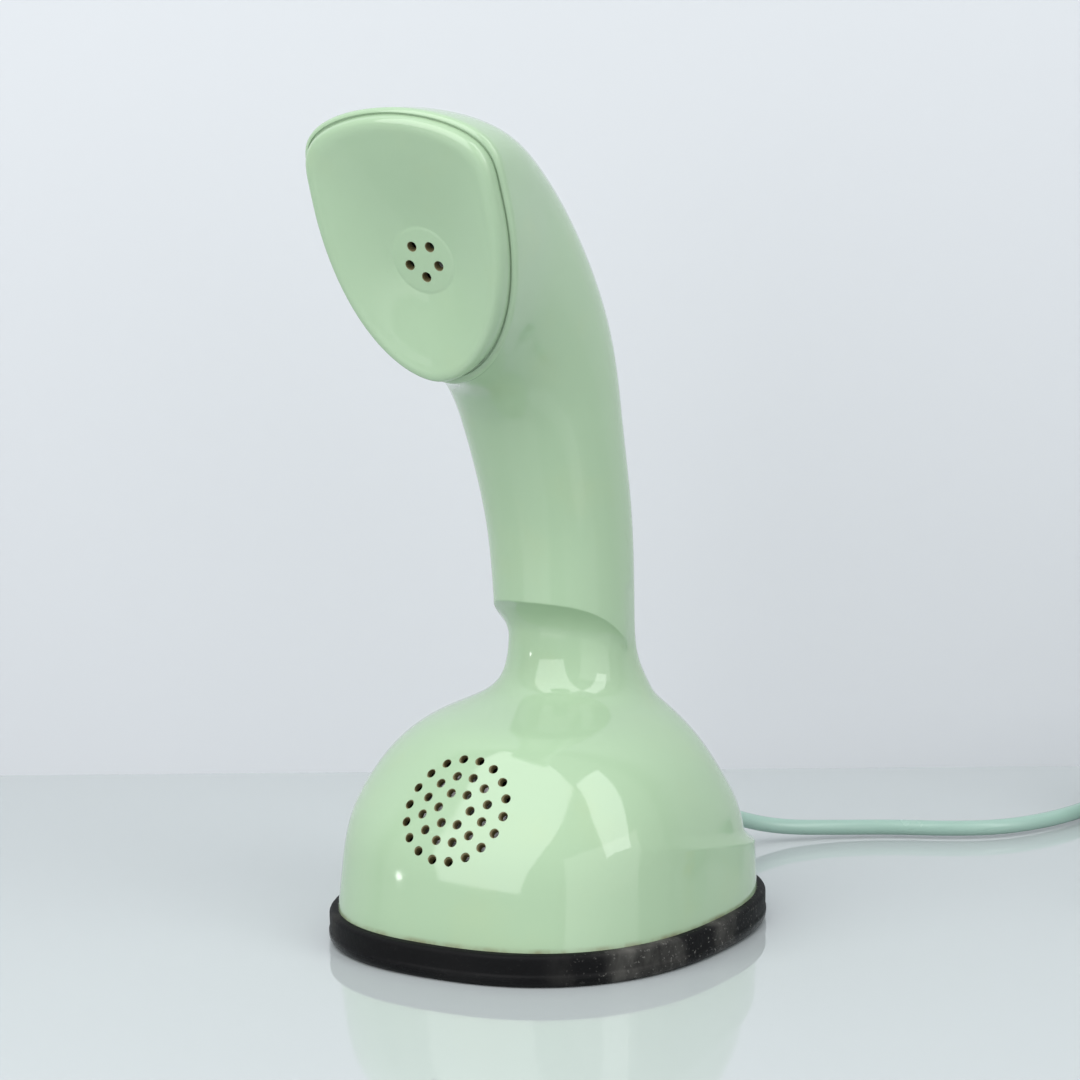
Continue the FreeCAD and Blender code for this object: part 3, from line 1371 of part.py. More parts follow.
def make_plug_body():
    x0 = PLUG_X - PLUG_HALF
    y0 = PLUG_Y - PLUG_LENGTH
    body = block(x0, PLUG_X + PLUG_HALF, y0, PLUG_Y, 0.0, PLUG_HEIGHT)
    upright = [e for e in body.Edges if e.BoundBox.ZLength > PLUG_HEIGHT - 1e-6]
    body = body.makeFillet(PLUG_ROUND, upright)
    level = [e for e in body.Edges if e.BoundBox.ZLength < 1e-6]
    body = body.makeFillet(1.2, level)
    sleeve = Part.makeCone(PLUG_SLEEVE_BASE, GLAND_TIP, PLUG_SLEEVE,
                           V(PLUG_X, PLUG_Y, PLUG_Z), V(0, 1, 0))
    body = body.fuse(sleeve)
    top = cylinder(SMALL_HEAD + 0.3, PLUG_HEIGHT - 1.4, PLUG_HEIGHT + 1.0, *plug_screw_place())
    hole = cylinder(SMALL_SHANK + SCREW_BITE, PLUG_HEIGHT - 8.0, PLUG_HEIGHT, *plug_screw_place())
    return body.cut([top, hole])


def plug_screw_place():
    return PLUG_X, PLUG_Y - PLUG_LENGTH / 2


def make_plug_screw():
    args = (SMALL_SHANK, 6.0, SMALL_HEAD, SMALL_HEAD_HEIGHT, SCREW_SLOT)
    return screw(*args, *plug_screw_place(), PLUG_HEIGHT - 1.4, 1)


def make_plug_pins():
    out = []
    for sx in (1, -1):
        for sz in (1, -1):
            length = PIN_LENGTH - (PIN_SHORT if sz > 0 else 0.0)
            start = V(PLUG_X + sx * PIN_SPREAD, PLUG_Y - PLUG_LENGTH, PLUG_Z + sz * PIN_RISE)
            pin = rod(PIN_RADIUS, start, V(0, -1, 0), length)
            far = [e for e in pin.Edges if e.BoundBox.YMax < start.y - length + 1e-3]
            out.append(pin.makeFillet(PIN_RADIUS * 0.7, far))
    return compound(out)


PIECES = {
    "housing": make_housing,
    "base_ring": make_ring,
    "ear_cap": make_ear_cap,
    "base_plate": make_base_plate,
    "base_screws": make_base_screws,
    "plate_screws": make_plate_screws,
    "number_ring": make_number_ring,
    "finger_wheel": make_finger_wheel,
    "hub_screws": make_hub_screws,
    "finger_stop": make_finger_stop,
    "dial_shaft": make_dial_shaft,
    "dial_frame": make_dial_frame,
    "return_spring": make_return_spring,
    "drive_gear": make_drive_gear,
    "shaft_ring": make_shaft_ring,
    "idler_arbor": lambda: make_arbor(IDLER),
    "idler_pinion": make_idler_pinion,
    "idler_wheel": make_idler_wheel,
    "impulse_cam": make_impulse_cam,
    "governor_arbor": lambda: make_arbor(GOVERNOR),
    "governor_pinion": make_governor_pinion,
    "governor_arm": make_governor_arm,
    "governor_weights": make_governor_weights,
    "governor_cup": make_governor_cup,
    "dial_bridge": make_bridge,
    "bridge_pillars": make_pillars,
    "impulse_block": make_impulse_block,
    "impulse_springs": lambda: compound(impulse_leaves()),
    "hook_button": make_hook_button,
    "plunger_spring": make_plunger_spring,
    "switch_strap": make_switch_strap,
    "hinge_pin": make_hinge_pin,
    "switch_lever": make_switch_lever,
    "contact_leaves": make_contact_leaves,
    "contact_insulators": make_contact_insulators,
    "coil_bobbin": make_coil_bobbin,
    "coil_core": make_coil_core,
    "coil_winding": make_coil_winding,
    "capacitor": make_capacitor,
    "terminal_block": make_terminal_block,
    "terminal_screws": make_terminal_screws,
    "transmitter": make_transmitter,
    "transmitter_ring": make_transmitter_ring,
    "transmitter_bracket": make_transmitter_bracket,
    "receiver": make_receiver,
    "receiver_pad": make_receiver_pad,
    "receiver_clip": make_receiver_clip,
    "receiver_lead": make_receiver_lead,
    "cord_gland": make_gland,
    "cord_tail": make_cord_tail,
    "line_cord": make_line_cord,
    "cord_coil": make_cord_coil,
    "coil_tie": make_coil_tie,
    "cord_end": make_cord_end,
    "plug_body": make_plug_body,
    "plug_pins": make_plug_pins,
    "plug_screw": make_plug_screw,
}

os.makedirs("parts", exist_ok=True)
for name, make in PIECES.items():
    shape = make()
    print("%s valid %s, solids %d, volume %.1f"
          % (name, shape.isValid(), len(shape.Solids), shape.Volume))
    shape.exportStep("parts/%s.step" % name)
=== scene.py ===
import json
import math

import bmesh
import bpy
import numpy as np
from mathutils import Matrix, Vector


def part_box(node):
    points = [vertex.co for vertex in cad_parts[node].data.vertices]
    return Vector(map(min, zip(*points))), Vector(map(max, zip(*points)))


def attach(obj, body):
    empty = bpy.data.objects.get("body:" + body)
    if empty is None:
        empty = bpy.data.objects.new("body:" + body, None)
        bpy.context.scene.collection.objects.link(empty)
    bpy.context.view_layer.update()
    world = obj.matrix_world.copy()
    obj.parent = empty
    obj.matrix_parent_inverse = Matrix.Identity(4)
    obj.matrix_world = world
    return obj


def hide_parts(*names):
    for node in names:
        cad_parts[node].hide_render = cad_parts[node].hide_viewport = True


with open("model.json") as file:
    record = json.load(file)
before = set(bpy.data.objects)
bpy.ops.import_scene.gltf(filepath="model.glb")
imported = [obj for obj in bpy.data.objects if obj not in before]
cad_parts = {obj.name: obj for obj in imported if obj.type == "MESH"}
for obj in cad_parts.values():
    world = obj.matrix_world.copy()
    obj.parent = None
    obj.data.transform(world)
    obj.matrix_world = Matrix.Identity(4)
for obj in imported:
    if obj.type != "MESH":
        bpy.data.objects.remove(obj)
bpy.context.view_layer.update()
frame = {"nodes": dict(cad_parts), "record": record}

NODES = frame["nodes"]
SLOTS = {part["node"]: part["material_slot"] for part in frame["record"]["subparts"]}

# sizes are in millimetres, as on the drawing, and meshes in metres
MM = 0.001

# columns round a moulding, and the halvings that find a place along it
COLUMNS = 128
HALVINGS = 26

# edges that turn by more than this stay sharp, in degrees
SHARP = 40.0

# points this near to each other, in metres, are one
MERGE = 0.000002

# wall of the mouldings
WALL = 2.6
CAP_WALL = 2.2

# rubber ring: front, back, half width, power
RING = (65.0, 63.5, 57.0, 2.4)
# its outline, height and inset: under side, groove over the lower bead, top and inner side
RING_UNDER = ((0.0, 11.0), (0.0, 6.0), (0.0, 2.6))
RING_SIDE = (
    (2.3, 0.0), (3.1, 0.0), (3.35, 0.12), (3.6, 0.28), (3.9, 0.3), (5.5, 0.22), (7.4, 0.2),
)
RING_TOP = ((9.0, 1.6), (9.0, 2.4), (9.0, 10.4), (8.6, 11.0), (0.4, 11.0))
# rounded edges below and above: start, rise, depth
RING_FOOT = (0.0, 2.2, 1.9)
RING_EDGE = (7.8, 1.2, 1.3)

# skirt, dome and neck: height, front, back, half width, power
SKIRT = (
    (9.0, 62.0, 61.0, 54.2, 2.42),
    (22.0, 59.9, 60.7, 53.4, 2.42),
    (44.0, 53.2, 59.8, 52.2, 2.40),
)
DOME = (
    (9.0, 61.9, 57.0, 54.1, 2.42),
    (21.0, 60.0, 54.6, 53.2, 2.42),
    (33.5, 57.0, 51.5, 51.6, 2.40),
    (45.0, 49.9, 44.9, 47.6, 2.30),
    (55.0, 42.0, 39.9, 40.6, 2.20),
    (61.0, 34.5, 37.2, 32.6, 2.15),
    (65.0, 19.5, 35.5, 24.8, 2.12),
    (69.0, 9.0, 34.2, 20.9, 2.10),
    (74.0, 6.0, 32.0, 18.9, 2.10),
    (82.0, 4.9, 30.3, 17.9, 2.10),
    (90.0, 4.9, 29.9, 17.9, 2.10),
    (99.0, 5.2, 29.5, 18.0, 2.10),
)
# height where the rows of the shoulder start, and middle of the body seen from above
SHOULDER_FOOT = 56.0
BODY_MIDDLE = (0.0, 8.0)

# crease where the skirt stands out of the dome: it fades in round the side, in degrees
CREASE_HEIGHT = 28.8
CREASE_SLOPE = 0.17
CREASE_PASSES = 6
CREASE_ROUND = 0.5
CREASE_COVE = 5.0
CREASE_FROM = 48.0
CREASE_FULL = 84.0

# head that fans about an axis, and the seam under the ear cap
FAN_Y = -43.63
FAN_Z = 144.02
FAN_RADIUS = 68.0
SEAM_TILT = 21.0
SEAM_TURN = 90.0 + SEAM_TILT
SEAM_BELOW = 50.8
SEAM_ABOVE = 27.8
SEAM_HALF = 30.6
SEAM_WIDEST = 0.675
SEAM_POWER = 3.2
SEAM_ROUND = 1.5
SEAM_DROP = 0.35
SEAM_DRAFT = 0.1
SEAM_SEAT = 2.4
# handle: drop below the fan axis, inner, outer, half width
HANDLE = (
    (80.0, 33.0, 73.4, 19.0),
    (64.0, 32.2, 73.4, 19.1),
    (46.0, 30.7, 73.1, 19.3),
    (28.0, 28.0, 71.5, 19.8),
)
# head: turn, below and above the fan radius, half width
HEAD = (
    (0.0, 50.4, -2.7, 21.2),
    (22.0, 53.2, -4.6, 22.0),
    (45.0, 54.4, -3.6, 22.9),
    (67.0, 54.6, 1.5, 24.0),
    (87.0, 53.8, 11.6, 25.8),
    (100.0, 52.6, 21.5, 28.4),
    (SEAM_TURN, SEAM_BELOW, SEAM_ABOVE, SEAM_HALF),
)

# how the section goes over from the handle's to the seam's
HANDLE_POWER = 2.1
TURN_FROM = 10.0
TURN_EASE = 1.6
TURN_INNER = 0.1

# arch that the outline at the ear takes on along the head
ARCH_START = 60.0
ARCH_SAG = 7.5
ARCH_INNER = 0.15
ARCH_OUTER = 2.8

# ledge where the handle ends over the neck: an arc in side view, with a cove under it
LEDGE_FRONT = -12.6
LEDGE_TOP = 95.0
LEDGE_SLOPE = 0.22
LEDGE_BEND = 0.0155
LEDGE_LEAST = 72.0
LEDGE_EDGE = 0.35
LEDGE_COVE = 10.0
LEDGE_BLEND = 0.3
NECK_TOP = 98.6

# rows along the housing: skirt, crease and its cove; dome; shoulder, cove, ledge and neck;
# handle and head; rolled rim
FOOT_ROWS = (18, 8, 12)
DOME_ROWS = 22
NECK_ROWS = (26, 20, 8, 12)
HANDLE_ROWS = 96
RIM_ROWS = 8

# ear cap
CAP_TILT = 18.4
CAP_BACK = 6.0
CAP_DROP = 14.2
CAP_RISE = 5.3
CAP_INSET = 1.35
CAP_GAP = 0.5
CAP_CLEARANCE = 0.05
# dish: depth, stations from the border to the disc, share of even slope, rows
CAP_FLOOR = 5.4
CAP_DISH = (0.08, 0.2, 0.35, 0.5, 0.65, 0.8, 0.92, 1.0)
CAP_EVEN = 0.78
CAP_ROWS = 78
# disc: radius, step, soft edge and its rows, rings of points on the disc
CAP_BOSS = 8.5
CAP_STEP = 0.1
CAP_SOFT = 1.0
CAP_SOFT_ROWS = 6
CAP_RINGS = (8.5, 6.6, 4.7, 2.8, 1.0)
# under side: insets of its edge
CAP_UNDER = (1.6, 0.05)
# border of the cap: share of its rise, inset
CAP_BORDER = (
    (0.0, 0.0), (0.34, 0.08), (0.58, 0.22), (0.75, 0.48), (0.88, 0.9), (0.96, 1.45),
    (0.995, 2.15), (1.0, 3.0),
)
# holes of the cap: number, circle, diameter, lip and reach of the bit
CAP_HOLES = 5
CAP_CIRCLE = 4.7
CAP_HOLE = 2.6
CAP_LIP = 0.15
CAP_DEPTH = 6.0

# mouthpiece holes: middle, tilt, and rings with the count, radius and offset of each
GRILLE_Y = -50.4
GRILLE_Z = 44.1
GRILLE_TILT = 33.0
GRILLE_RINGS = ((6, 5.1, 0.0), (12, 9.9, 0.5), (18, 15.1, 0.0))
GRILLE_HOLE = 2.3
GRILLE_DEPTH = 7.0
HOLE_LIP = 0.28

# bits that drill the holes
BIT_SIDES = 28
BIT_OVER = 0.02
BIT_REACH = 30.0

# cord
CORD_RADIUS = 2.4
CORD_EXIT = (0.0, 83.0, 14.5)
GLAND_HOLE = 3.25
GLAND_DEPTH = 9.0
CORD_ROUTE = (
    (0.0, 96.0, 14.5), (4.0, 108.0, 8.4), (12.5, 119.5, 4.6), (25.0, 131.5, 3.5),
    (40.0, 141.5, 3.3), (56.0, 148.0, 3.3), (70.0, 157.5, 3.3), (79.0, 174.0, 3.3),
)
# coil that is put away, and the straight stretches before and after it
COIL_X = 116.0
COIL_Y = 212.0
COIL_Z = 3.3
COIL_STEP = 5.3
COIL_MEAN = 26.5
COIL_LAYERS = 4
COIL_TURNS = 2.125
COIL_POINTS = 16
COIL_CLIMB = 0.5
COIL_LEAD = 4.8
JOIN = 14.0
END_STRAIGHT = 12.0
CORD_END = ((148.8, 182.0, 15.2), (150.4, 168.0, 9.0))
PLUG_MOUTH = (152.0, 140.0, 7.0)

# dial figures: circle, step and last place of the finger holes, size and thickness
FINGER_CIRCLE = 28.5
FINGER_STEP = 30.0
FINGER_LAST = 60.0
FIGURE_SIZE = 7.84
FIGURE_LIFT = 0.03

# photograph: place and directions of the camera
CAMERA_AT = (490.33, -813.68, 257.58)
CAMERA_RIGHT = (0.85592465, 0.51702844, -0.00863669)
CAMERA_UP = (-0.07158328, 0.1350122, 0.98825479)
CAMERA_LENS = 114.3
CAMERA_SENSOR = 36.0
CAMERA_NEAR = 10.0
CAMERA_FAR = 100000.0

# table with its opening under the ring, and the wall behind it
TABLE_REACH = 6000.0
TABLE_OPENING = 8.0
WALL_DISTANCE = 1150.0

# lights: azimuth, elevation, distance, width, height, shift in their plane, power, colour
LIGHTS = {
    "window": (-12.0, 42.0, 1.0, 0.98, 1.6, (0.06, -0.02), 13.4, (1.0, 1.0, 1.0)),
    "side_window": (84.0, 42.0, 1.0, 0.36, 0.95, (0.0, 0.0), 3.6, (0.98, 0.99, 1.0)),
    "fill": (72.0, 12.0, 2.2, 2.4, 1.5, (0.0, 0.0), 12.5, (1.0, 1.0, 0.98)),
    "lamp": (-47.0, 2.0, 0.8, 0.045, 0.03, (0.0, -0.055), 0.0006, (1.0, 1.0, 1.0)),
}
LIGHTS_AIM = (0.0, 0.0, 0.08)
LAMP_SPREAD = 14.0
ROOM_COLOR = (0.95, 0.975, 1.0)
ROOM_STRENGTH = 0.58


def mm(x, y, z):
    """Point in metres from its place in millimetres."""
    return Vector((x, y, z)) * MM


def tilted(tilt):
    """Outward normal and upward direction of a face that leans by the tilt."""
    t = math.radians(tilt)
    return Vector((0, -math.cos(t), -math.sin(t))), Vector((0, -math.sin(t), math.cos(t)))


SEAM_OUT = tilted(SEAM_TILT)[0]
CAP_OUT, CAP_UP = tilted(CAP_TILT)
GRILLE_OUT, GRILLE_UP = tilted(-GRILLE_TILT)
SEAM_POINT = Vector((
    0,
    FAN_Y - FAN_RADIUS * math.sin(math.radians(SEAM_TILT)),
    FAN_Z + FAN_RADIUS * math.cos(math.radians(SEAM_TILT)),
))
CAP_CENTRE = SEAM_POINT + Vector((0, CAP_BACK, -CAP_DROP))
GRILLE_CENTRE = Vector((0, GRILLE_Y, GRILLE_Z))
AROUND = 2.0 * math.pi * np.arange(COLUMNS) / COLUMNS


# outlines and smooth forms

def smooth(low, high, x):
    """Soft step from 0 at the low value to 1 at the high one."""
    t = np.clip((x - low) / (high - low), 0.0, 1.0)
    return t * t * (3.0 - 2.0 * t)


def outline(front, back, half, widest, p_front, p_back):
    """Across and along of a closed outline of four superellipse quarters, from the front."""
    c = np.cos(AROUND)
    s = np.sin(AROUND)
    middle = -front + (front + back) * widest
    p = np.where(c >= 0, p_front, p_back)
    reach = np.where(c >= 0, middle + front, back - middle)
    swell = (np.abs(c) ** p + np.abs(s) ** p) ** (-1.0 / p)
    return s * swell * half, middle - c * swell * reach


def level(z, front, back, half, power, inset=0.0):
    """Level section of the body at a height."""
    x, y = outline(front - inset, back - inset, half - inset, 0.5, power, power)
    return np.stack([x, y, np.full(COLUMNS, z)], axis=1)


def fan(turn, inner, outer, half, inset=0.0, drop=0.0):
    """Section in a plane through the fan axis, turned from the level at the back."""
    t = min(1.0, max(0.0, (turn - TURN_FROM) / (SEAM_TURN - TURN_FROM))) ** TURN_EASE
    arch = float(smooth(ARCH_START, SEAM_TURN, turn))
    sag = ARCH_SAG * arch
    widest = 0.5 + (SEAM_WIDEST - 0.5) * t + sag / (outer - inner)
    p_in = HANDLE_POWER - TURN_INNER * t - ARCH_INNER * arch
    p_out = HANDLE_POWER + (SEAM_POWER - HANDLE_POWER) * t + ARCH_OUTER * arch
    x, r = outline(-inner - inset, outer - inset, half - inset, widest, p_in, p_out)
    r = r - sag * (x / (half - inset)) ** 2
    a = math.radians(turn)
    return np.stack([x, FAN_Y + r * math.cos(a), FAN_Z - drop + r * math.sin(a)], axis=1)


class Form:
    """Smooth surface through closed sections, read along each column."""

    def __init__(self, sections):
        self.rows = np.array(sections)
        self.steps = np.linalg.norm(np.diff(self.rows, axis=0), axis=2).mean(axis=1)
        self.along = np.concatenate([[0.0], np.cumsum(self.steps)])
        count = len(self.along)
        h = self.steps
        matrix = np.eye(count)
        pull = np.zeros((count, COLUMNS, 3))
        for i in range(1, count - 1):
            matrix[i, i - 1:i + 2] = h[i - 1], 2.0 * (h[i - 1] + h[i]), h[i]
            rise = (self.rows[i + 1] - self.rows[i]) / h[i]
            pull[i] = 6.0 * (rise - (self.rows[i] - self.rows[i - 1]) / h[i - 1])
        self.bend = np.linalg.solve(matrix, pull.reshape(count, -1)).reshape(pull.shape)

    def at(self, u):
        """Points at a distance along, one for all columns or one for each."""
        u = np.broadcast_to(np.asarray(u, float), (COLUMNS,))
        i = np.clip(np.searchsorted(self.along, u, side="right") - 1, 0, len(self.steps) - 1)
        c = np.arange(COLUMNS)
        w = self.steps[i][:, None]
        s = (u - self.along[i])[:, None]
        r = w - s
        a = self.bend[i, c]
        b = self.bend[i + 1, c]
        ends = (self.rows[i, c] / w - a * w / 6) * r + (self.rows[i + 1, c] / w - b * w / 6) * s
        return (a * r ** 3 + b * s ** 3) / (6 * w) + ends

    def where(self, measure, goal):
        """Distance along at which a measure that grows along the form meets its goal."""
        low = np.zeros(COLUMNS)
        high = np.full(COLUMNS, self.along[-1])
        for _ in range(HALVINGS):
            middle = (low + high) / 2
            short = measure(self.at(middle)) < goal
            low = np.where(short, middle, low)
            high = np.where(short, high, middle)
        return (low + high) / 2

    def height(self, z):
        """Distance along at which each column comes to a height."""
        return self.where(lambda p: p[:, 2], z)


def between(first, last, count):
    """Shares from the first value to the last, without the last."""
    return [first + (last - first) * i / count for i in range(count)]


def outward(p, q):
    """How far q stands outside p, seen from the axis of the body."""
    n = p[:, :2] - np.array(BODY_MIDDLE)
    n /= np.linalg.norm(n, axis=1)[:, None]
    return ((q - p)[:, :2] * n).sum(axis=1)


def ramp(x, soft):
    """Zero below zero and x above it, with the corner rounded off."""
    return np.where(x < -soft, 0.0, np.where(x < soft, (x + soft) ** 2 / (4.0 * soft), x))


def shell_rows(inset, fine):
    """Rows of points of the housing's surface, from the rim up to the seam."""
    skirt = Form([level(*station, inset) for station in SKIRT])
    dome = Form([level(*station, inset) for station in DOME])
    straight = [fan(0.0, i, o, h, inset, d) for d, i, o, h in HANDLE]
    turned = [fan(t, FAN_RADIUS - b, FAN_RADIUS + a, h, inset) for t, b, a, h in HEAD]
    handle = Form(straight + turned)
    drops = [FAN_Z - station[0] for station in HANDLE]
    crease_edge = CREASE_ROUND * fine
    ledge_edge = LEDGE_EDGE * fine
    side = np.degrees(np.arccos(np.cos(AROUND)))

    def low(z, crease):
        s = skirt.at(skirt.height(z))
        d = dome.at(dome.height(z))
        cove = 1.0 - np.minimum(ramp(z - crease, crease_edge) / CREASE_COVE, 1.0)
        over = smooth(CREASE_FROM, CREASE_FULL, side) * cove ** 2
        return d + (s - d) * over[:, None]

    def trunk(u, ledge):
        t = dome.at(u)
        h = handle.at(np.interp(t[:, 2], drops, handle.along[:len(drops)]))
        cove = 1.0 - np.minimum(ramp(ledge - t[:, 2], ledge_edge) / LEDGE_COVE, 1.0)
        share = cove ** 2 * smooth(-LEDGE_BLEND, LEDGE_BLEND, outward(t, h))
        return t + (h - t) * share[:, None]

    rows = []
    crease = np.full(COLUMNS, CREASE_HEIGHT)
    for _ in range(CREASE_PASSES):
        crease = CREASE_HEIGHT - inset - CREASE_SLOPE * skirt.at(skirt.height(crease))[:, 1]
    foot = np.full(COLUMNS, SKIRT[0][0])
    marks = [foot, crease - crease_edge, crease + crease_edge, crease + CREASE_COVE]
    for first, last, count in zip(marks, marks[1:], FOOT_ROWS):
        for k in between(0.0, 1.0, int(count / fine)):
            rows.append(low(first + (last - first) * k, crease))
    start = dome.height(crease + CREASE_COVE)
    knee = dome.height(SHOULDER_FOOT)
    rows += [dome.at(start + (knee - start) * k) for k in between(0.0, 1.0, int(DOME_ROWS / fine))]

    grip = handle.at(np.interp(LEDGE_TOP, drops, handle.along[:len(drops)]))[:, 1]
    reach = np.maximum(grip - LEDGE_FRONT, 0.0)
    ledge = LEDGE_TOP + inset - LEDGE_SLOPE * reach - LEDGE_BEND * reach ** 2
    ledge = np.maximum(ledge, LEDGE_LEAST)
    marks = [knee, dome.height(ledge - LEDGE_COVE), dome.height(ledge - ledge_edge),
             dome.height(ledge + ledge_edge), dome.height(NECK_TOP)]
    for first, last, count in zip(marks, marks[1:], NECK_ROWS):
        for k in between(0.0, 1.0, int(count / fine)):
            rows.append(trunk(first + (last - first) * k, ledge))

    out = np.array(SEAM_OUT)
    start = np.interp(NECK_TOP, drops, handle.along[:len(drops)])
    end = handle.where(lambda p: (p - np.array(SEAM_POINT)) @ out, -SEAM_ROUND)
    count = int(HANDLE_ROWS / fine)
    rows += [handle.at(start + (end - start) * k) for k in between(0.0, 1.0, count)]
    rim = handle.at(end)
    if inset:
        return rows + [rim]
    mouth = seam_outline(CAP_INSET)
    draw = mouth - (rim + out * SEAM_ROUND)
    for k in between(0.0, math.pi / 2, RIM_ROWS):
        rows.append(rim + out * (SEAM_ROUND * math.sin(k)) + draw * (1.0 - math.cos(k)))
    seat = out * SEAM_DROP
    return rows + [mouth, mouth - seat / 2, seam_outline(CAP_INSET + SEAM_DRAFT) - seat,
                   seam_outline(SEAM_SEAT) - seat]


def seam_outline(inset):
    """Outline of the housing in the plane of its seam with the ear cap."""
    turn, below, above, half = HEAD[-1]
    return fan(turn, FAN_RADIUS - below, FAN_RADIUS + above, half, inset)


# meshes

def ring_of(mesh, points):
    """Closed ring of edges through the points, started from a circle."""
    made = bmesh.ops.create_circle(mesh, segments=COLUMNS, radius=1.0)
    for vert, point in zip(made["verts"], points):
        vert.co = Vector(point) * MM
    return made["verts"]


def grow(mesh, ring, points):
    """Next ring of a skin: the edges of the last one are extruded and set on the points."""
    order = {vert: i for i, vert in enumerate(ring)}
    edges = []
    count = len(ring)
    for i, vert in enumerate(ring):
        after = ring[(i + 1) % count]
        edges += [e for e in vert.link_edges if e.other_vert(vert) is after]
    made = bmesh.ops.extrude_edge_only(mesh, edges=edges)
    fresh = [item for item in made["geom"] if isinstance(item, bmesh.types.BMVert)]
    following = [None] * count
    for vert in fresh:
        old = [e.other_vert(vert) for e in vert.link_edges if e.other_vert(vert) in order]
        following[order[old[0]]] = vert
    for vert, point in zip(following, points):
        vert.co = Vector(point) * MM
    return following


def skin(rows, closed=False, centre=None):
    """Mesh through rings of points; closed joins the last to the first, a centre caps the end."""
    mesh = bmesh.new()
    first = ring_of(mesh, rows[0])
    ring = first
    for row in rows[1:]:
        ring = grow(mesh, ring, row)
    if closed:
        pairs = [e for v in first + ring for e in v.link_edges if e.is_boundary]
        bmesh.ops.bridge_loops(mesh, edges=list(set(pairs)))
    if centre is not None:
        open_edges = {e for v in ring for e in v.link_edges if e.is_boundary}
        cap = bmesh.ops.contextual_create(mesh, geom=list(open_edges))
        middle = bmesh.ops.poke(mesh, faces=cap["faces"])["verts"][0]
        middle.co = Vector(centre) * MM
    bmesh.ops.recalc_face_normals(mesh, faces=mesh.faces)
    return mesh


def shade(mesh):
    """Smooth shading, but for the sharp edges."""
    limit = math.radians(SHARP)
    for face in mesh.faces:
        face.smooth = True
    for edge in mesh.edges:
        edge.smooth = edge.calc_face_angle(0.0) < limit


def finish_piece(mesh, name, material):
    """Object of a finished mesh, riding on the housing."""
    shade(mesh)
    data = bpy.data.meshes.new(name)
    mesh.to_mesh(data)
    mesh.free()
    piece = bpy.data.objects.new(name, data)
    bpy.context.scene.collection.objects.link(piece)
    data.materials.append(material)
    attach(piece, "housing")
    return piece


def apply_modifiers(piece):
    """Puts a piece's modifiers into its mesh and marks its sharp edges again."""
    graph = bpy.context.evaluated_depsgraph_get()
    data = bpy.data.meshes.new_from_object(piece.evaluated_get(graph))
    piece.modifiers.clear()
    old = piece.data
    piece.data = data
    bpy.data.meshes.remove(old)
    mesh = bmesh.new()
    mesh.from_mesh(data)
    bmesh.ops.remove_doubles(mesh, verts=mesh.verts, dist=MERGE)
    shade(mesh)
    mesh.to_mesh(data)
    mesh.free()


def drill(mesh, radius, lip, start, surface, direction, length):
    """Bit for one hole: a straight shank through the wall and a small lip at the surface."""
    rise = (surface - start).dot(direction)
    ring = bmesh.ops.create_circle(mesh, segments=BIT_SIDES, radius=radius * MM)["verts"]
    edges = list({e for v in ring for e in v.link_edges})
    verts = list(ring)
    bmesh.ops.contextual_create(mesh, geom=edges)
    wide = radius + lip
    for z, r in ((rise - lip, radius), (rise + BIT_OVER, wide), (length, wide)):
        made = bmesh.ops.extrude_edge_only(mesh, edges=edges)["geom"]
        ring = [g for g in made if isinstance(g, bmesh.types.BMVert)]
        fresh = set(ring)
        edges = [g for g in made if isinstance(g, bmesh.types.BMEdge) and fresh >= set(g.verts)]
        for vert in ring:
            flat = Vector((vert.co.x, vert.co.y, 0.0)).normalized() * r * MM
            vert.co = flat + Vector((0, 0, z * MM))
        verts += ring
    bmesh.ops.contextual_create(mesh, geom=edges)
    turn = direction.to_track_quat("Z", "Y").to_matrix().to_4x4()
    bmesh.ops.transform(mesh, matrix=Matrix.Translation(start * MM) @ turn, verts=verts)


def cut_holes(piece, places, radius, lip, direction, depth):
    """Drills holes through a piece from outside, each with its lip on the surface."""
    mesh = bmesh.new()
    for place in places:
        eye = (place + direction * BIT_REACH) * MM
        found, hit = piece.ray_cast(eye, -direction)[:2]
        surface = hit / MM if found else place
        start = surface - direction * depth
        drill(mesh, radius, lip, start, surface, direction, depth + BIT_REACH / 2)
    bmesh.ops.recalc_face_normals(mesh, faces=mesh.faces)
    data = bpy.data.meshes.new("bits")
    mesh.to_mesh(data)
    mesh.free()
    # the walls the bits cut take this painted-shade material, darker than the plastic round them
    data.materials.append(PAINTED_HOLE_SHADE)
    bits = bpy.data.objects.new("bits", data)
    bpy.context.scene.collection.objects.link(bits)
    cut = piece.modifiers.new("holes", "BOOLEAN")
    cut.operation = "DIFFERENCE"
    cut.solver = "EXACT"
    cut.material_mode = "TRANSFER"
    cut.object = bits
    apply_modifiers(piece)
    bpy.data.objects.remove(bits)
    bpy.data.meshes.remove(data)


# materials

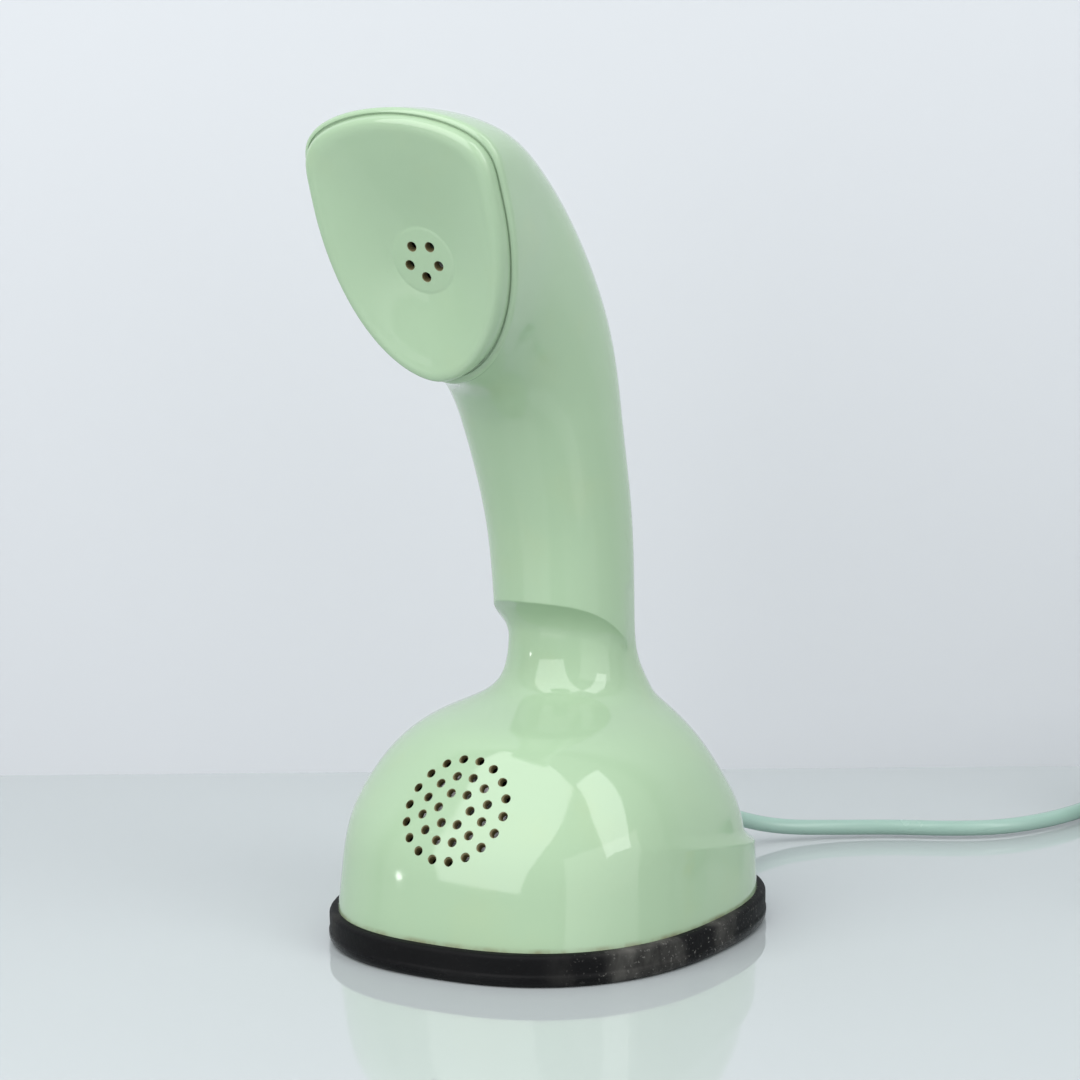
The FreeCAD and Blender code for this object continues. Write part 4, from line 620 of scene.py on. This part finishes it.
class Paint:
    """A material whose look is built from patterns in object coordinates."""

    def __init__(self, name, color, roughness, metallic=0.0):
        self.material = bpy.data.materials.new(name)
        self.material.use_nodes = True
        self.nodes = self.material.node_tree.nodes
        self.links = self.material.node_tree.links
        self.shader = self.nodes["Principled BSDF"]
        self.shader.inputs["Metallic"].default_value = metallic
        self.shader.inputs["Roughness"].default_value = roughness
        self.shader.inputs["Base Color"].default_value = (*color, 1.0)
        self.color = None
        self.place = self.nodes.new("ShaderNodeTexCoord").outputs["Object"]
        self.base = color
        self.roughness = roughness
        self.normal = None

    def set(self, socket, value):
        """Constant on one of the shader's own sockets."""
        self.shader.inputs[socket].default_value = value
        return self

    def noise(self, scale, detail=3.0, stretch=(1.0, 1.0, 1.0), rough=0.55):
        """Cloudy pattern; the scale is in waves per metre."""
        source = self.place
        if stretch != (1.0, 1.0, 1.0):
            mapping = self.nodes.new("ShaderNodeMapping")
            mapping.inputs["Scale"].default_value = stretch
            self.links.new(source, mapping.inputs["Vector"])
            source = mapping.outputs["Vector"]
        made = self.nodes.new("ShaderNodeTexNoise")
        made.inputs["Scale"].default_value = scale
        made.inputs["Detail"].default_value = detail
        made.inputs["Roughness"].default_value = rough
        self.links.new(source, made.inputs["Vector"])
        return made.outputs["Fac"]

    def axis(self, name):
        """Place along X, Y or Z, in metres."""
        split = self.nodes.new("ShaderNodeSeparateXYZ")
        self.links.new(self.place, split.inputs["Vector"])
        return split.outputs[name]

    def span(self, source, low, high, to_low=0.0, to_high=1.0):
        """Maps a pattern's values from low to high onto another range, clamped."""
        made = self.nodes.new("ShaderNodeMapRange")
        made.interpolation_type = "SMOOTHSTEP"
        made.inputs["From Min"].default_value = low
        made.inputs["From Max"].default_value = high
        made.inputs["To Min"].default_value = to_low
        made.inputs["To Max"].default_value = to_high
        self.links.new(source, made.inputs["Value"])
        return made.outputs["Result"]

    def math(self, operation, a, b):
        """Sum, product or the like of patterns and numbers."""
        made = self.nodes.new("ShaderNodeMath")
        made.operation = operation
        for socket, value in zip(made.inputs, (a, b)):
            if isinstance(value, (int, float)):
                socket.default_value = value
            else:
                self.links.new(value, socket)
        return made.outputs["Value"]

    def tint(self, share, color):
        """Lays a colour over what is there, by a pattern."""
        made = self.nodes.new("ShaderNodeMix")
        made.data_type = "RGBA"
        self.links.new(share, made.inputs["Factor"])
        if self.color is None:
            made.inputs["A"].default_value = (*self.base, 1.0)
        else:
            self.links.new(self.color, made.inputs["A"])
        made.inputs["B"].default_value = (*color, 1.0)
        self.color = made.outputs["Result"]
        self.links.new(self.color, self.shader.inputs["Base Color"])
        return self

    def gloss(self, share, low, high):
        """Roughness from low to high, by a pattern."""
        rough = self.span(share, 0.0, 1.0, low, high)
        self.links.new(rough, self.shader.inputs["Roughness"])
        return self

    def bump(self, height, strength, distance):
        """Small relief by a pattern, on top of what is there."""
        made = self.nodes.new("ShaderNodeBump")
        made.inputs["Strength"].default_value = strength
        made.inputs["Distance"].default_value = distance
        self.links.new(height, made.inputs["Height"])
        if self.normal is not None:
            self.links.new(self.normal, made.inputs["Normal"])
        self.normal = made.outputs["Normal"]
        self.links.new(self.normal, self.shader.inputs["Normal"])
        return self


def shaded(color, factor):
    """The same colour, lighter or darker."""
    return tuple(min(1.0, c * factor) for c in color)


SHELL_GREEN = (0.325, 0.454, 0.300)
CORD_GREEN = (0.29, 0.43, 0.37)


def shell_plastic():
    """Glossy aged moulding, with specks and a line of dirt at the ring."""
    paint = Paint("shell_plastic", SHELL_GREEN, 0.08)
    paint.set("IOR", 1.52)
    paint.tint(paint.span(paint.noise(16.0, 2.0), 0.35, 0.75, 0.0, 0.5), shaded(SHELL_GREEN, 0.95))
    paint.tint(paint.span(paint.noise(45.0, 3.0), 0.5, 0.8, 0.0, 0.35), (0.345, 0.45, 0.275))
    specks = paint.span(paint.noise(1500.0, 1.0), 0.80, 0.86)
    paint.tint(paint.math("MULTIPLY", specks, 0.35), (0.20, 0.24, 0.14))
    rim = paint.span(paint.axis("Z"), 0.0106, 0.0091)
    dirt = paint.math("MULTIPLY", rim, paint.span(paint.noise(160.0, 5.0), 0.35, 0.7, 0.15, 0.7))
    paint.tint(dirt, (0.17, 0.15, 0.07))
    smear = paint.noise(70.0, 4.0, (1.0, 1.0, 0.35))
    paint.gloss(paint.span(smear, 0.3, 0.75), 0.045, 0.11)
    paint.bump(paint.noise(420.0, 2.0), 0.02, 0.0003)
    return paint.material


def base_rubber():
    """Black rubber, dusty towards its sides and smooth at its foot."""
    paint = Paint("base_rubber", (0.0035, 0.0035, 0.004), 0.45)
    paint.set("Specular IOR Level", 0.1)
    dust = paint.span(paint.noise(34.0, 6.0, (1.0, 1.0, 0.5)), 0.46, 0.72)
    side = paint.math("ABSOLUTE", paint.axis("X"), 0.0)
    ends = paint.span(side, 0.030, 0.054, 0.02, 0.85)
    paint.tint(paint.math("MULTIPLY", dust, ends), (0.175, 0.17, 0.155))
    grains = paint.span(paint.noise(1100.0, 3.0), 0.60, 0.72)
    paint.tint(paint.math("MULTIPLY", grains, paint.span(side, 0.030, 0.056, 0.03, 0.75)),
               (0.15, 0.148, 0.138))
    low = paint.span(paint.axis("Z"), 0.0038, 0.0022, 0.0, 0.45)
    paint.gloss(paint.math("SUBTRACT", paint.span(dust, 0.0, 1.0, 0.6, 1.0), low), 0.22, 0.75)
    paint.bump(paint.noise(700.0, 4.0), 0.25, 0.0004)
    return paint.material


def dial_plastic():
    """The shell's plastic, worn dull by fingers."""
    paint = Paint("dial_plastic", SHELL_GREEN, 0.2)
    paint.tint(paint.span(paint.noise(60.0, 4.0), 0.45, 0.8, 0.0, 0.3), shaded(SHELL_GREEN, 0.88))
    paint.gloss(paint.span(paint.noise(130.0, 5.0), 0.3, 0.8), 0.15, 0.34)
    paint.bump(paint.noise(600.0, 2.0), 0.03, 0.0003)
    return paint.material


def metal(name, color, roughness, grain):
    """Metal with a drawn or turned grain and stained patches."""
    paint = Paint(name, color, roughness, 1.0)
    paint.tint(paint.span(paint.noise(90.0, 4.0), 0.4, 0.8, 0.0, 0.5), shaded(color, 0.72))
    paint.gloss(paint.noise(300.0, 4.0, grain), roughness * 0.6, roughness * 1.5)
    paint.bump(paint.noise(900.0, 3.0, grain), 0.08, 0.0002)
    return paint.material


def coated(name, color, roughness, scale=120.0, depth=0.08):
    """Moulded or painted stuff with cloudy colour, uneven gloss and a little grain."""
    paint = Paint(name, color, roughness)
    paint.tint(paint.span(paint.noise(scale, 4.0), 0.4, 0.8, 0.0, 0.6), shaded(color, 0.7))
    paint.gloss(paint.noise(scale * 2.0, 4.0), roughness * 0.7, roughness * 1.3)
    paint.bump(paint.noise(scale * 6.0, 3.0), depth, 0.0003)
    return paint.material


def winding():
    """Lacquered wire laid in turns along X."""
    paint = Paint("copper_winding", (0.42, 0.13, 0.045), 0.3, 0.6)
    wave = paint.nodes.new("ShaderNodeTexWave")
    wave.inputs["Scale"].default_value = 900.0
    paint.links.new(paint.place, wave.inputs["Vector"])
    paint.tint(paint.span(wave.outputs["Fac"], 0.3, 0.9, 0.0, 0.6), (0.16, 0.05, 0.02))
    paint.bump(wave.outputs["Fac"], 0.3, 0.0002)
    return paint.material


def cord_sheath():
    """Plastic sheath of the cord, gland and plug, a little faded."""
    paint = Paint("cord_sheath", CORD_GREEN, 0.25)
    paint.tint(paint.span(paint.noise(40.0, 4.0), 0.45, 0.75, 0.0, 0.4), shaded(CORD_GREEN, 0.86))
    paint.tint(paint.span(paint.noise(300.0, 4.0), 0.6, 0.8, 0.0, 0.3), (0.36, 0.45, 0.36))
    paint.gloss(paint.noise(110.0, 4.0), 0.14, 0.32)
    paint.bump(paint.noise(500.0, 3.0), 0.08, 0.0003)
    return paint.material


def figure_ink():
    """Dark print of the dial figures, with worn spots."""
    paint = Paint("figure_ink", (0.03, 0.032, 0.03), 0.4)
    paint.tint(paint.span(paint.noise(1500.0, 4.0), 0.55, 0.8, 0.0, 0.5), (0.10, 0.105, 0.10))
    return paint.material


MATERIALS = {
    "shell_plastic": shell_plastic(),
    "base_rubber": base_rubber(),
    "plated_steel": metal("plated_steel", (0.56, 0.56, 0.54), 0.32, (1.0, 1.0, 4.0)),
    "base_metal": coated("base_metal", (0.030, 0.031, 0.032), 0.42, 160.0, 0.12),
    "works_brass": metal("works_brass", (0.66, 0.48, 0.20), 0.30, (1.0, 1.0, 5.0)),
    "dial_plastic": dial_plastic(),
    "insulator": coated("insulator", (0.17, 0.075, 0.035), 0.45, 200.0, 0.12),
    "copper_winding": winding(),
    "core_iron": metal("core_iron", (0.22, 0.22, 0.23), 0.5, (1.0, 1.0, 1.0)),
    "capacitor_case": metal("capacitor_case", (0.62, 0.62, 0.62), 0.36, (1.0, 1.0, 3.0)),
    "capsule_metal": metal("capsule_metal", (0.55, 0.55, 0.56), 0.4, (2.0, 2.0, 1.0)),
    "lead_sheath": coated("lead_sheath", (0.05, 0.05, 0.052), 0.5, 150.0),
    "cord_sheath": cord_sheath(),
    "tie_strap": coated("tie_strap", (0.045, 0.046, 0.048), 0.38, 220.0, 0.1),
}
INK = figure_ink()
# walls of the drilled holes: dark brown, painted shade for the dark inside the holes
PAINTED_HOLE_SHADE = coated("hole_wall_painted_shade", (0.15, 0.125, 0.055), 0.6, 700.0, 0.2)


# pieces

def dress_nodes():
    """Gives every piece of the frame the finish of its slot."""
    for name, node in NODES.items():
        node.data.materials.clear()
        node.data.materials.append(MATERIALS[SLOTS[name]])


def make_shell():
    """Housing with its wall, mouthpiece holes and the hole of the cord gland."""
    outer = shell_rows(0.0, 1.0)
    inner = shell_rows(WALL, 2.0)
    mesh = skin(outer + inner[::-1], closed=True)
    shell = finish_piece(mesh, "shell_moulding", MATERIALS["shell_plastic"])
    places = []
    for count, radius, offset in GRILLE_RINGS:
        for i in range(count):
            a = 2.0 * math.pi * (i + offset) / count
            place = Vector((radius * math.cos(a), 0, 0)) + GRILLE_UP * (radius * math.sin(a))
            places.append(GRILLE_CENTRE + place)
    cut_holes(shell, places, GRILLE_HOLE / 2, HOLE_LIP, GRILLE_OUT, GRILLE_DEPTH)
    exit_place = Vector((0.0, CORD_EXIT[1], CORD_EXIT[2]))
    cut_holes(shell, [exit_place], GLAND_HOLE, HOLE_LIP, Vector((0, 1, 0)), GLAND_DEPTH)
    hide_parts("housing")
    return shell


def cap_row(rise, inset):
    """Outline of the cap a share of the way from the seam to the plane of its face."""
    row = seam_outline(CAP_INSET + CAP_GAP + inset)
    face = np.array(CAP_CENTRE + CAP_OUT * CAP_RISE)
    out = np.array(CAP_OUT)
    gap = (face - row) @ out
    return row + out * (gap * rise)[:, None]


def cap_circle(radius, depth):
    """Circle round the middle of the holes, at a depth under the plane of the face."""
    middle = np.array(CAP_CENTRE + CAP_OUT * (CAP_RISE - depth))
    across = np.array([1.0, 0.0, 0.0])
    up = np.array(CAP_UP)
    s = np.sin(AROUND)[:, None]
    c = np.cos(AROUND)[:, None]
    return middle + across * (radius * s) - up * (radius * c)


def make_ear_cap():
    """Dished cap with a soft border and a slightly raised disc round its holes."""
    out = np.array(CAP_OUT)
    border = [cap_row(rise, inset) for rise, inset in CAP_BORDER]
    brim = cap_row(1.0, CAP_BORDER[-1][1])
    disc = cap_circle(CAP_BOSS + CAP_SOFT, 0.0)
    for w in CAP_DISH:
        slope = CAP_EVEN * w + (1.0 - CAP_EVEN) * float(smooth(0.0, 1.0, w))
        border.append(brim + (disc - brim) * w - out * (CAP_FLOOR * slope))
    form = Form(border)
    rows = [form.at(form.along[-1] * k) for k in between(0.0, 1.0, CAP_ROWS)]
    for k in between(0.0, 1.0, CAP_SOFT_ROWS):
        step = float(smooth(0.0, 1.0, k))
        rows.append(cap_circle(CAP_BOSS + CAP_SOFT * (1.0 - k), CAP_FLOOR - CAP_STEP * step))
    for radius in CAP_RINGS:
        rows.append(cap_circle(radius, CAP_FLOOR - CAP_STEP))
    sink = np.array(SEAM_OUT) * (SEAM_DROP - CAP_CLEARANCE)
    under = [cap_row(0.0, inset) - sink for inset in CAP_UNDER]
    middle = CAP_CENTRE + CAP_OUT * (CAP_RISE - CAP_FLOOR + CAP_STEP)
    cap = finish_piece(skin(under + rows, centre=middle), "ear_cap_moulding",
                       MATERIALS["shell_plastic"])
    wall = cap.modifiers.new("wall", "SOLIDIFY")
    wall.thickness = CAP_WALL * MM
    wall.offset = -1.0
    apply_modifiers(cap)
    places = []
    for i in range(CAP_HOLES):
        a = math.radians(-90.0 + 360.0 * i / CAP_HOLES)
        spoke = Vector((math.cos(a), 0, 0)) + CAP_UP * math.sin(a)
        places.append(CAP_CENTRE + spoke * CAP_CIRCLE)
    cut_holes(cap, places, CAP_HOLE / 2, CAP_LIP, CAP_OUT, CAP_DEPTH)
    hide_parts("ear_cap")
    return cap


def make_base_ring():
    """Rubber ring with soft edges, a lower bead and its open middle."""
    profile = list(RING_UNDER)
    start, rise, depth = RING_FOOT
    for k in between(0.0, math.pi / 2, 7):
        profile.append((start + rise * (1.0 - math.cos(k)), depth - depth * math.sin(k)))
    profile += RING_SIDE
    start, rise, depth = RING_EDGE
    inset = RING_SIDE[-1][1]
    for k in between(0.0, math.pi / 2, 6):
        profile.append((start + rise * math.sin(k), inset + depth * (1.0 - math.cos(k))))
    profile += RING_TOP
    front, back, half, power = RING
    rows = [level(z, front, back, half, power, inset) for z, inset in profile]
    ring = finish_piece(skin(rows, closed=True), "base_ring_rubber", MATERIALS["base_rubber"])
    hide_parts("base_ring")
    return ring


def coil_point(t):
    """Centre of the cord after t turns of the put-away coil."""
    wide = COIL_MEAN + COIL_STEP * COIL_TURNS / 2
    layer = min(COIL_LAYERS - 1, int(t / COIL_TURNS + 1e-9))
    inside = t - layer * COIL_TURNS
    radius = wide - COIL_STEP * inside
    if layer % 2:
        radius = wide - COIL_STEP * (COIL_TURNS - inside)
    rise = 0.0
    for k in range(1, COIL_LAYERS):
        start = k * COIL_TURNS - COIL_CLIMB / 2
        rise += COIL_STEP * float(smooth(start, start + COIL_CLIMB, t))
    stand = radius / math.cos(math.pi / COIL_POINTS) ** 0.5
    angle = math.pi - 2.0 * math.pi * t
    x = COIL_X + stand * math.cos(angle)
    y = COIL_Y + stand * math.sin(angle)
    return x, y, COIL_Z + rise


def make_cord():
    """Line cord on one smooth curve: along the table, round its coil and into the plug."""
    first = coil_point(0.0)
    last = coil_point(COIL_LAYERS * COIL_TURNS)
    points = [CORD_EXIT, *CORD_ROUTE]
    points += [(first[0], first[1] - COIL_LEAD - JOIN, first[2]),
               (first[0], first[1] - COIL_LEAD, first[2])]
    turns = int(COIL_LAYERS * COIL_TURNS * COIL_POINTS)
    points += [coil_point(i / COIL_POINTS) for i in range(turns + 1)]
    points += [(last[0], last[1] - COIL_LEAD, last[2]),
               (last[0], last[1] - COIL_LEAD - END_STRAIGHT, last[2])]
    points += list(CORD_END)
    points += [(PLUG_MOUTH[0], PLUG_MOUTH[1] + END_STRAIGHT, PLUG_MOUTH[2]), PLUG_MOUTH]
    data = bpy.data.curves.new("line_cord_sheath", "CURVE")
    data.dimensions = "3D"
    data.bevel_depth = CORD_RADIUS * MM
    data.bevel_resolution = 5
    data.resolution_u = 6
    data.use_fill_caps = True
    line = data.splines.new("NURBS")
    line.points.add(len(points) - 1)
    for target, point in zip(line.points, points):
        target.co = (*mm(*point), 1.0)
    line.order_u = 3
    line.use_endpoint_u = True
    data.materials.append(MATERIALS["cord_sheath"])
    cord = bpy.data.objects.new("line_cord_sheath", data)
    bpy.context.scene.collection.objects.link(cord)
    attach(cord, "housing")
    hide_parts("line_cord", "cord_coil", "cord_end")
    return cord


def make_figures():
    """Figures under the finger holes, read from below."""
    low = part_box("number_ring")[0]
    turn = Matrix(((1, 0, 0), (0, -1, 0), (0, 0, -1))).to_4x4()
    for i in range(10):
        angle = math.radians(FINGER_LAST + FINGER_STEP * i)
        text = bpy.data.curves.new("figure", "FONT")
        text.body = str((10 - i) % 10)
        text.size = FIGURE_SIZE * MM
        text.align_x = "CENTER"
        text.align_y = "CENTER"
        text.extrude = FIGURE_LIFT * MM
        text.resolution_u = 4
        flat = bpy.data.objects.new("figure", text)
        bpy.context.scene.collection.objects.link(flat)
        graph = bpy.context.evaluated_depsgraph_get()
        data = bpy.data.meshes.new_from_object(flat.evaluated_get(graph))
        bpy.data.objects.remove(flat)
        at = Vector((math.cos(angle), math.sin(angle), 0)) * FINGER_CIRCLE * MM
        data.transform(Matrix.Translation(at + Vector((0, 0, low.z))) @ turn)
        data.materials.clear()
        data.materials.append(INK)
        figure = bpy.data.objects.new("figure_%s" % text.body, data)
        bpy.context.scene.collection.objects.link(figure)
        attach(figure, "housing")


# stage, light and camera

def make_stage():
    """Table, open where the ring hides it so that light reaches the dial, and a wall."""
    ahead = Vector(CAMERA_UP).cross(Vector(CAMERA_RIGHT))
    ahead = Vector((ahead.x, ahead.y, 0)).normalized()
    side = Vector((ahead.y, -ahead.x, 0))
    eye = mm(CAMERA_AT[0], CAMERA_AT[1], 0)
    front, back, half, power = RING
    floor = skin([level(0.0, front, back, half, power, TABLE_OPENING),
                  level(0.0, TABLE_REACH, TABLE_REACH, TABLE_REACH, 2.0)])
    for face in floor.faces:
        if face.normal.z < 0.0:
            face.normal_flip()
    table = Paint("table_top", (0.462, 0.497, 0.503), 0.05)
    table.tint(table.span(table.noise(3.0, 3.0), 0.3, 0.8, 0.0, 0.3), (0.447, 0.481, 0.487))
    table.set("IOR", 1.8)
    table.gloss(table.noise(9.0, 3.0), 0.02, 0.06)
    wall = bmesh.new()
    bmesh.ops.create_grid(wall, x_segments=1, y_segments=1, size=TABLE_REACH * MM)
    stand = Matrix((
        (side.x, 0, -ahead.x), (side.y, 0, -ahead.y), (0, 1, 0),
    )).to_4x4()
    foot = eye + ahead * WALL_DISTANCE * MM
    bmesh.ops.transform(wall, matrix=Matrix.Translation(foot) @ stand, verts=wall.verts)
    plaster = Paint("plain_wall", (0.537, 0.554, 0.58), 0.9)
    plaster.tint(plaster.span(plaster.noise(2.0, 2.0), 0.3, 0.8, 0.0, 0.3), (0.527, 0.546, 0.572))
    see_through(table)
    see_through(plaster)
    for mesh, name, material in ((floor, "table", table.material), (wall, "wall", plaster.material)):
        data = bpy.data.meshes.new(name)
        mesh.to_mesh(data)
        mesh.free()
        data.materials.append(material)
        plane = bpy.data.objects.new(name, data)
        bpy.context.scene.collection.objects.link(plane)


def see_through(paint):
    """Makes the back of a one-sided plane clear, so that it hides nothing from behind."""
    clear = paint.nodes.new("ShaderNodeBsdfTransparent")
    mix = paint.nodes.new("ShaderNodeMixShader")
    face = paint.nodes.new("ShaderNodeNewGeometry")
    output = paint.nodes["Material Output"]
    paint.links.new(face.outputs["Backfacing"], mix.inputs["Fac"])
    paint.links.new(paint.shader.outputs["BSDF"], mix.inputs[1])
    paint.links.new(clear.outputs["BSDF"], mix.inputs[2])
    paint.links.new(mix.outputs["Shader"], output.inputs["Surface"])


def softbox(name, azimuth, elevation, distance, width, height, shift, power, color):
    """Rectangular light that faces the object, moved in its own plane by the shift."""
    a = math.radians(azimuth)
    e = math.radians(elevation)
    out = Vector((math.sin(a) * math.cos(e), -math.cos(a) * math.cos(e), math.sin(e)))
    turn = out.to_track_quat("Z", "Y").to_matrix()
    data = bpy.data.lights.new(name, "AREA")
    data.shape = "RECTANGLE"
    data.size = width
    data.size_y = height
    data.energy = power
    data.color = color
    lamp = bpy.data.objects.new(name, data)
    bpy.context.scene.collection.objects.link(lamp)
    place = Vector(LIGHTS_AIM) + out * distance + turn @ Vector((*shift, 0.0))
    lamp.matrix_world = Matrix.Translation(place) @ turn.to_4x4()
    return lamp


def make_lights():
    """Two windows, a large fill, a small lamp with a narrow beam, and the room's own light."""
    lamps = {name: softbox(name, *values) for name, values in LIGHTS.items()}
    lamps["lamp"].data.spread = math.radians(LAMP_SPREAD)
    world = bpy.data.worlds.new("room")
    world.use_nodes = True
    room = world.node_tree.nodes["Background"]
    room.inputs["Color"].default_value = (*ROOM_COLOR, 1.0)
    room.inputs["Strength"].default_value = ROOM_STRENGTH
    bpy.context.scene.world = world


def make_camera():
    """Camera at the photograph's place."""
    data = bpy.data.cameras.new("camera")
    data.lens = CAMERA_LENS
    data.sensor_width = CAMERA_SENSOR
    data.clip_start = CAMERA_NEAR * MM
    data.clip_end = CAMERA_FAR * MM
    camera = bpy.data.objects.new("camera", data)
    bpy.context.scene.collection.objects.link(camera)
    right = Vector(CAMERA_RIGHT)
    up = Vector(CAMERA_UP)
    turn = Matrix((right, up, right.cross(up))).transposed()
    camera.matrix_world = Matrix.Translation(mm(*CAMERA_AT)) @ turn.to_4x4()
    bpy.context.scene.camera = camera


make_camera()
dress_nodes()
make_cord()
make_shell()
make_ear_cap()
make_base_ring()
make_figures()
make_stage()
make_lights()
bpy.context.scene.view_settings.view_transform = "Standard"
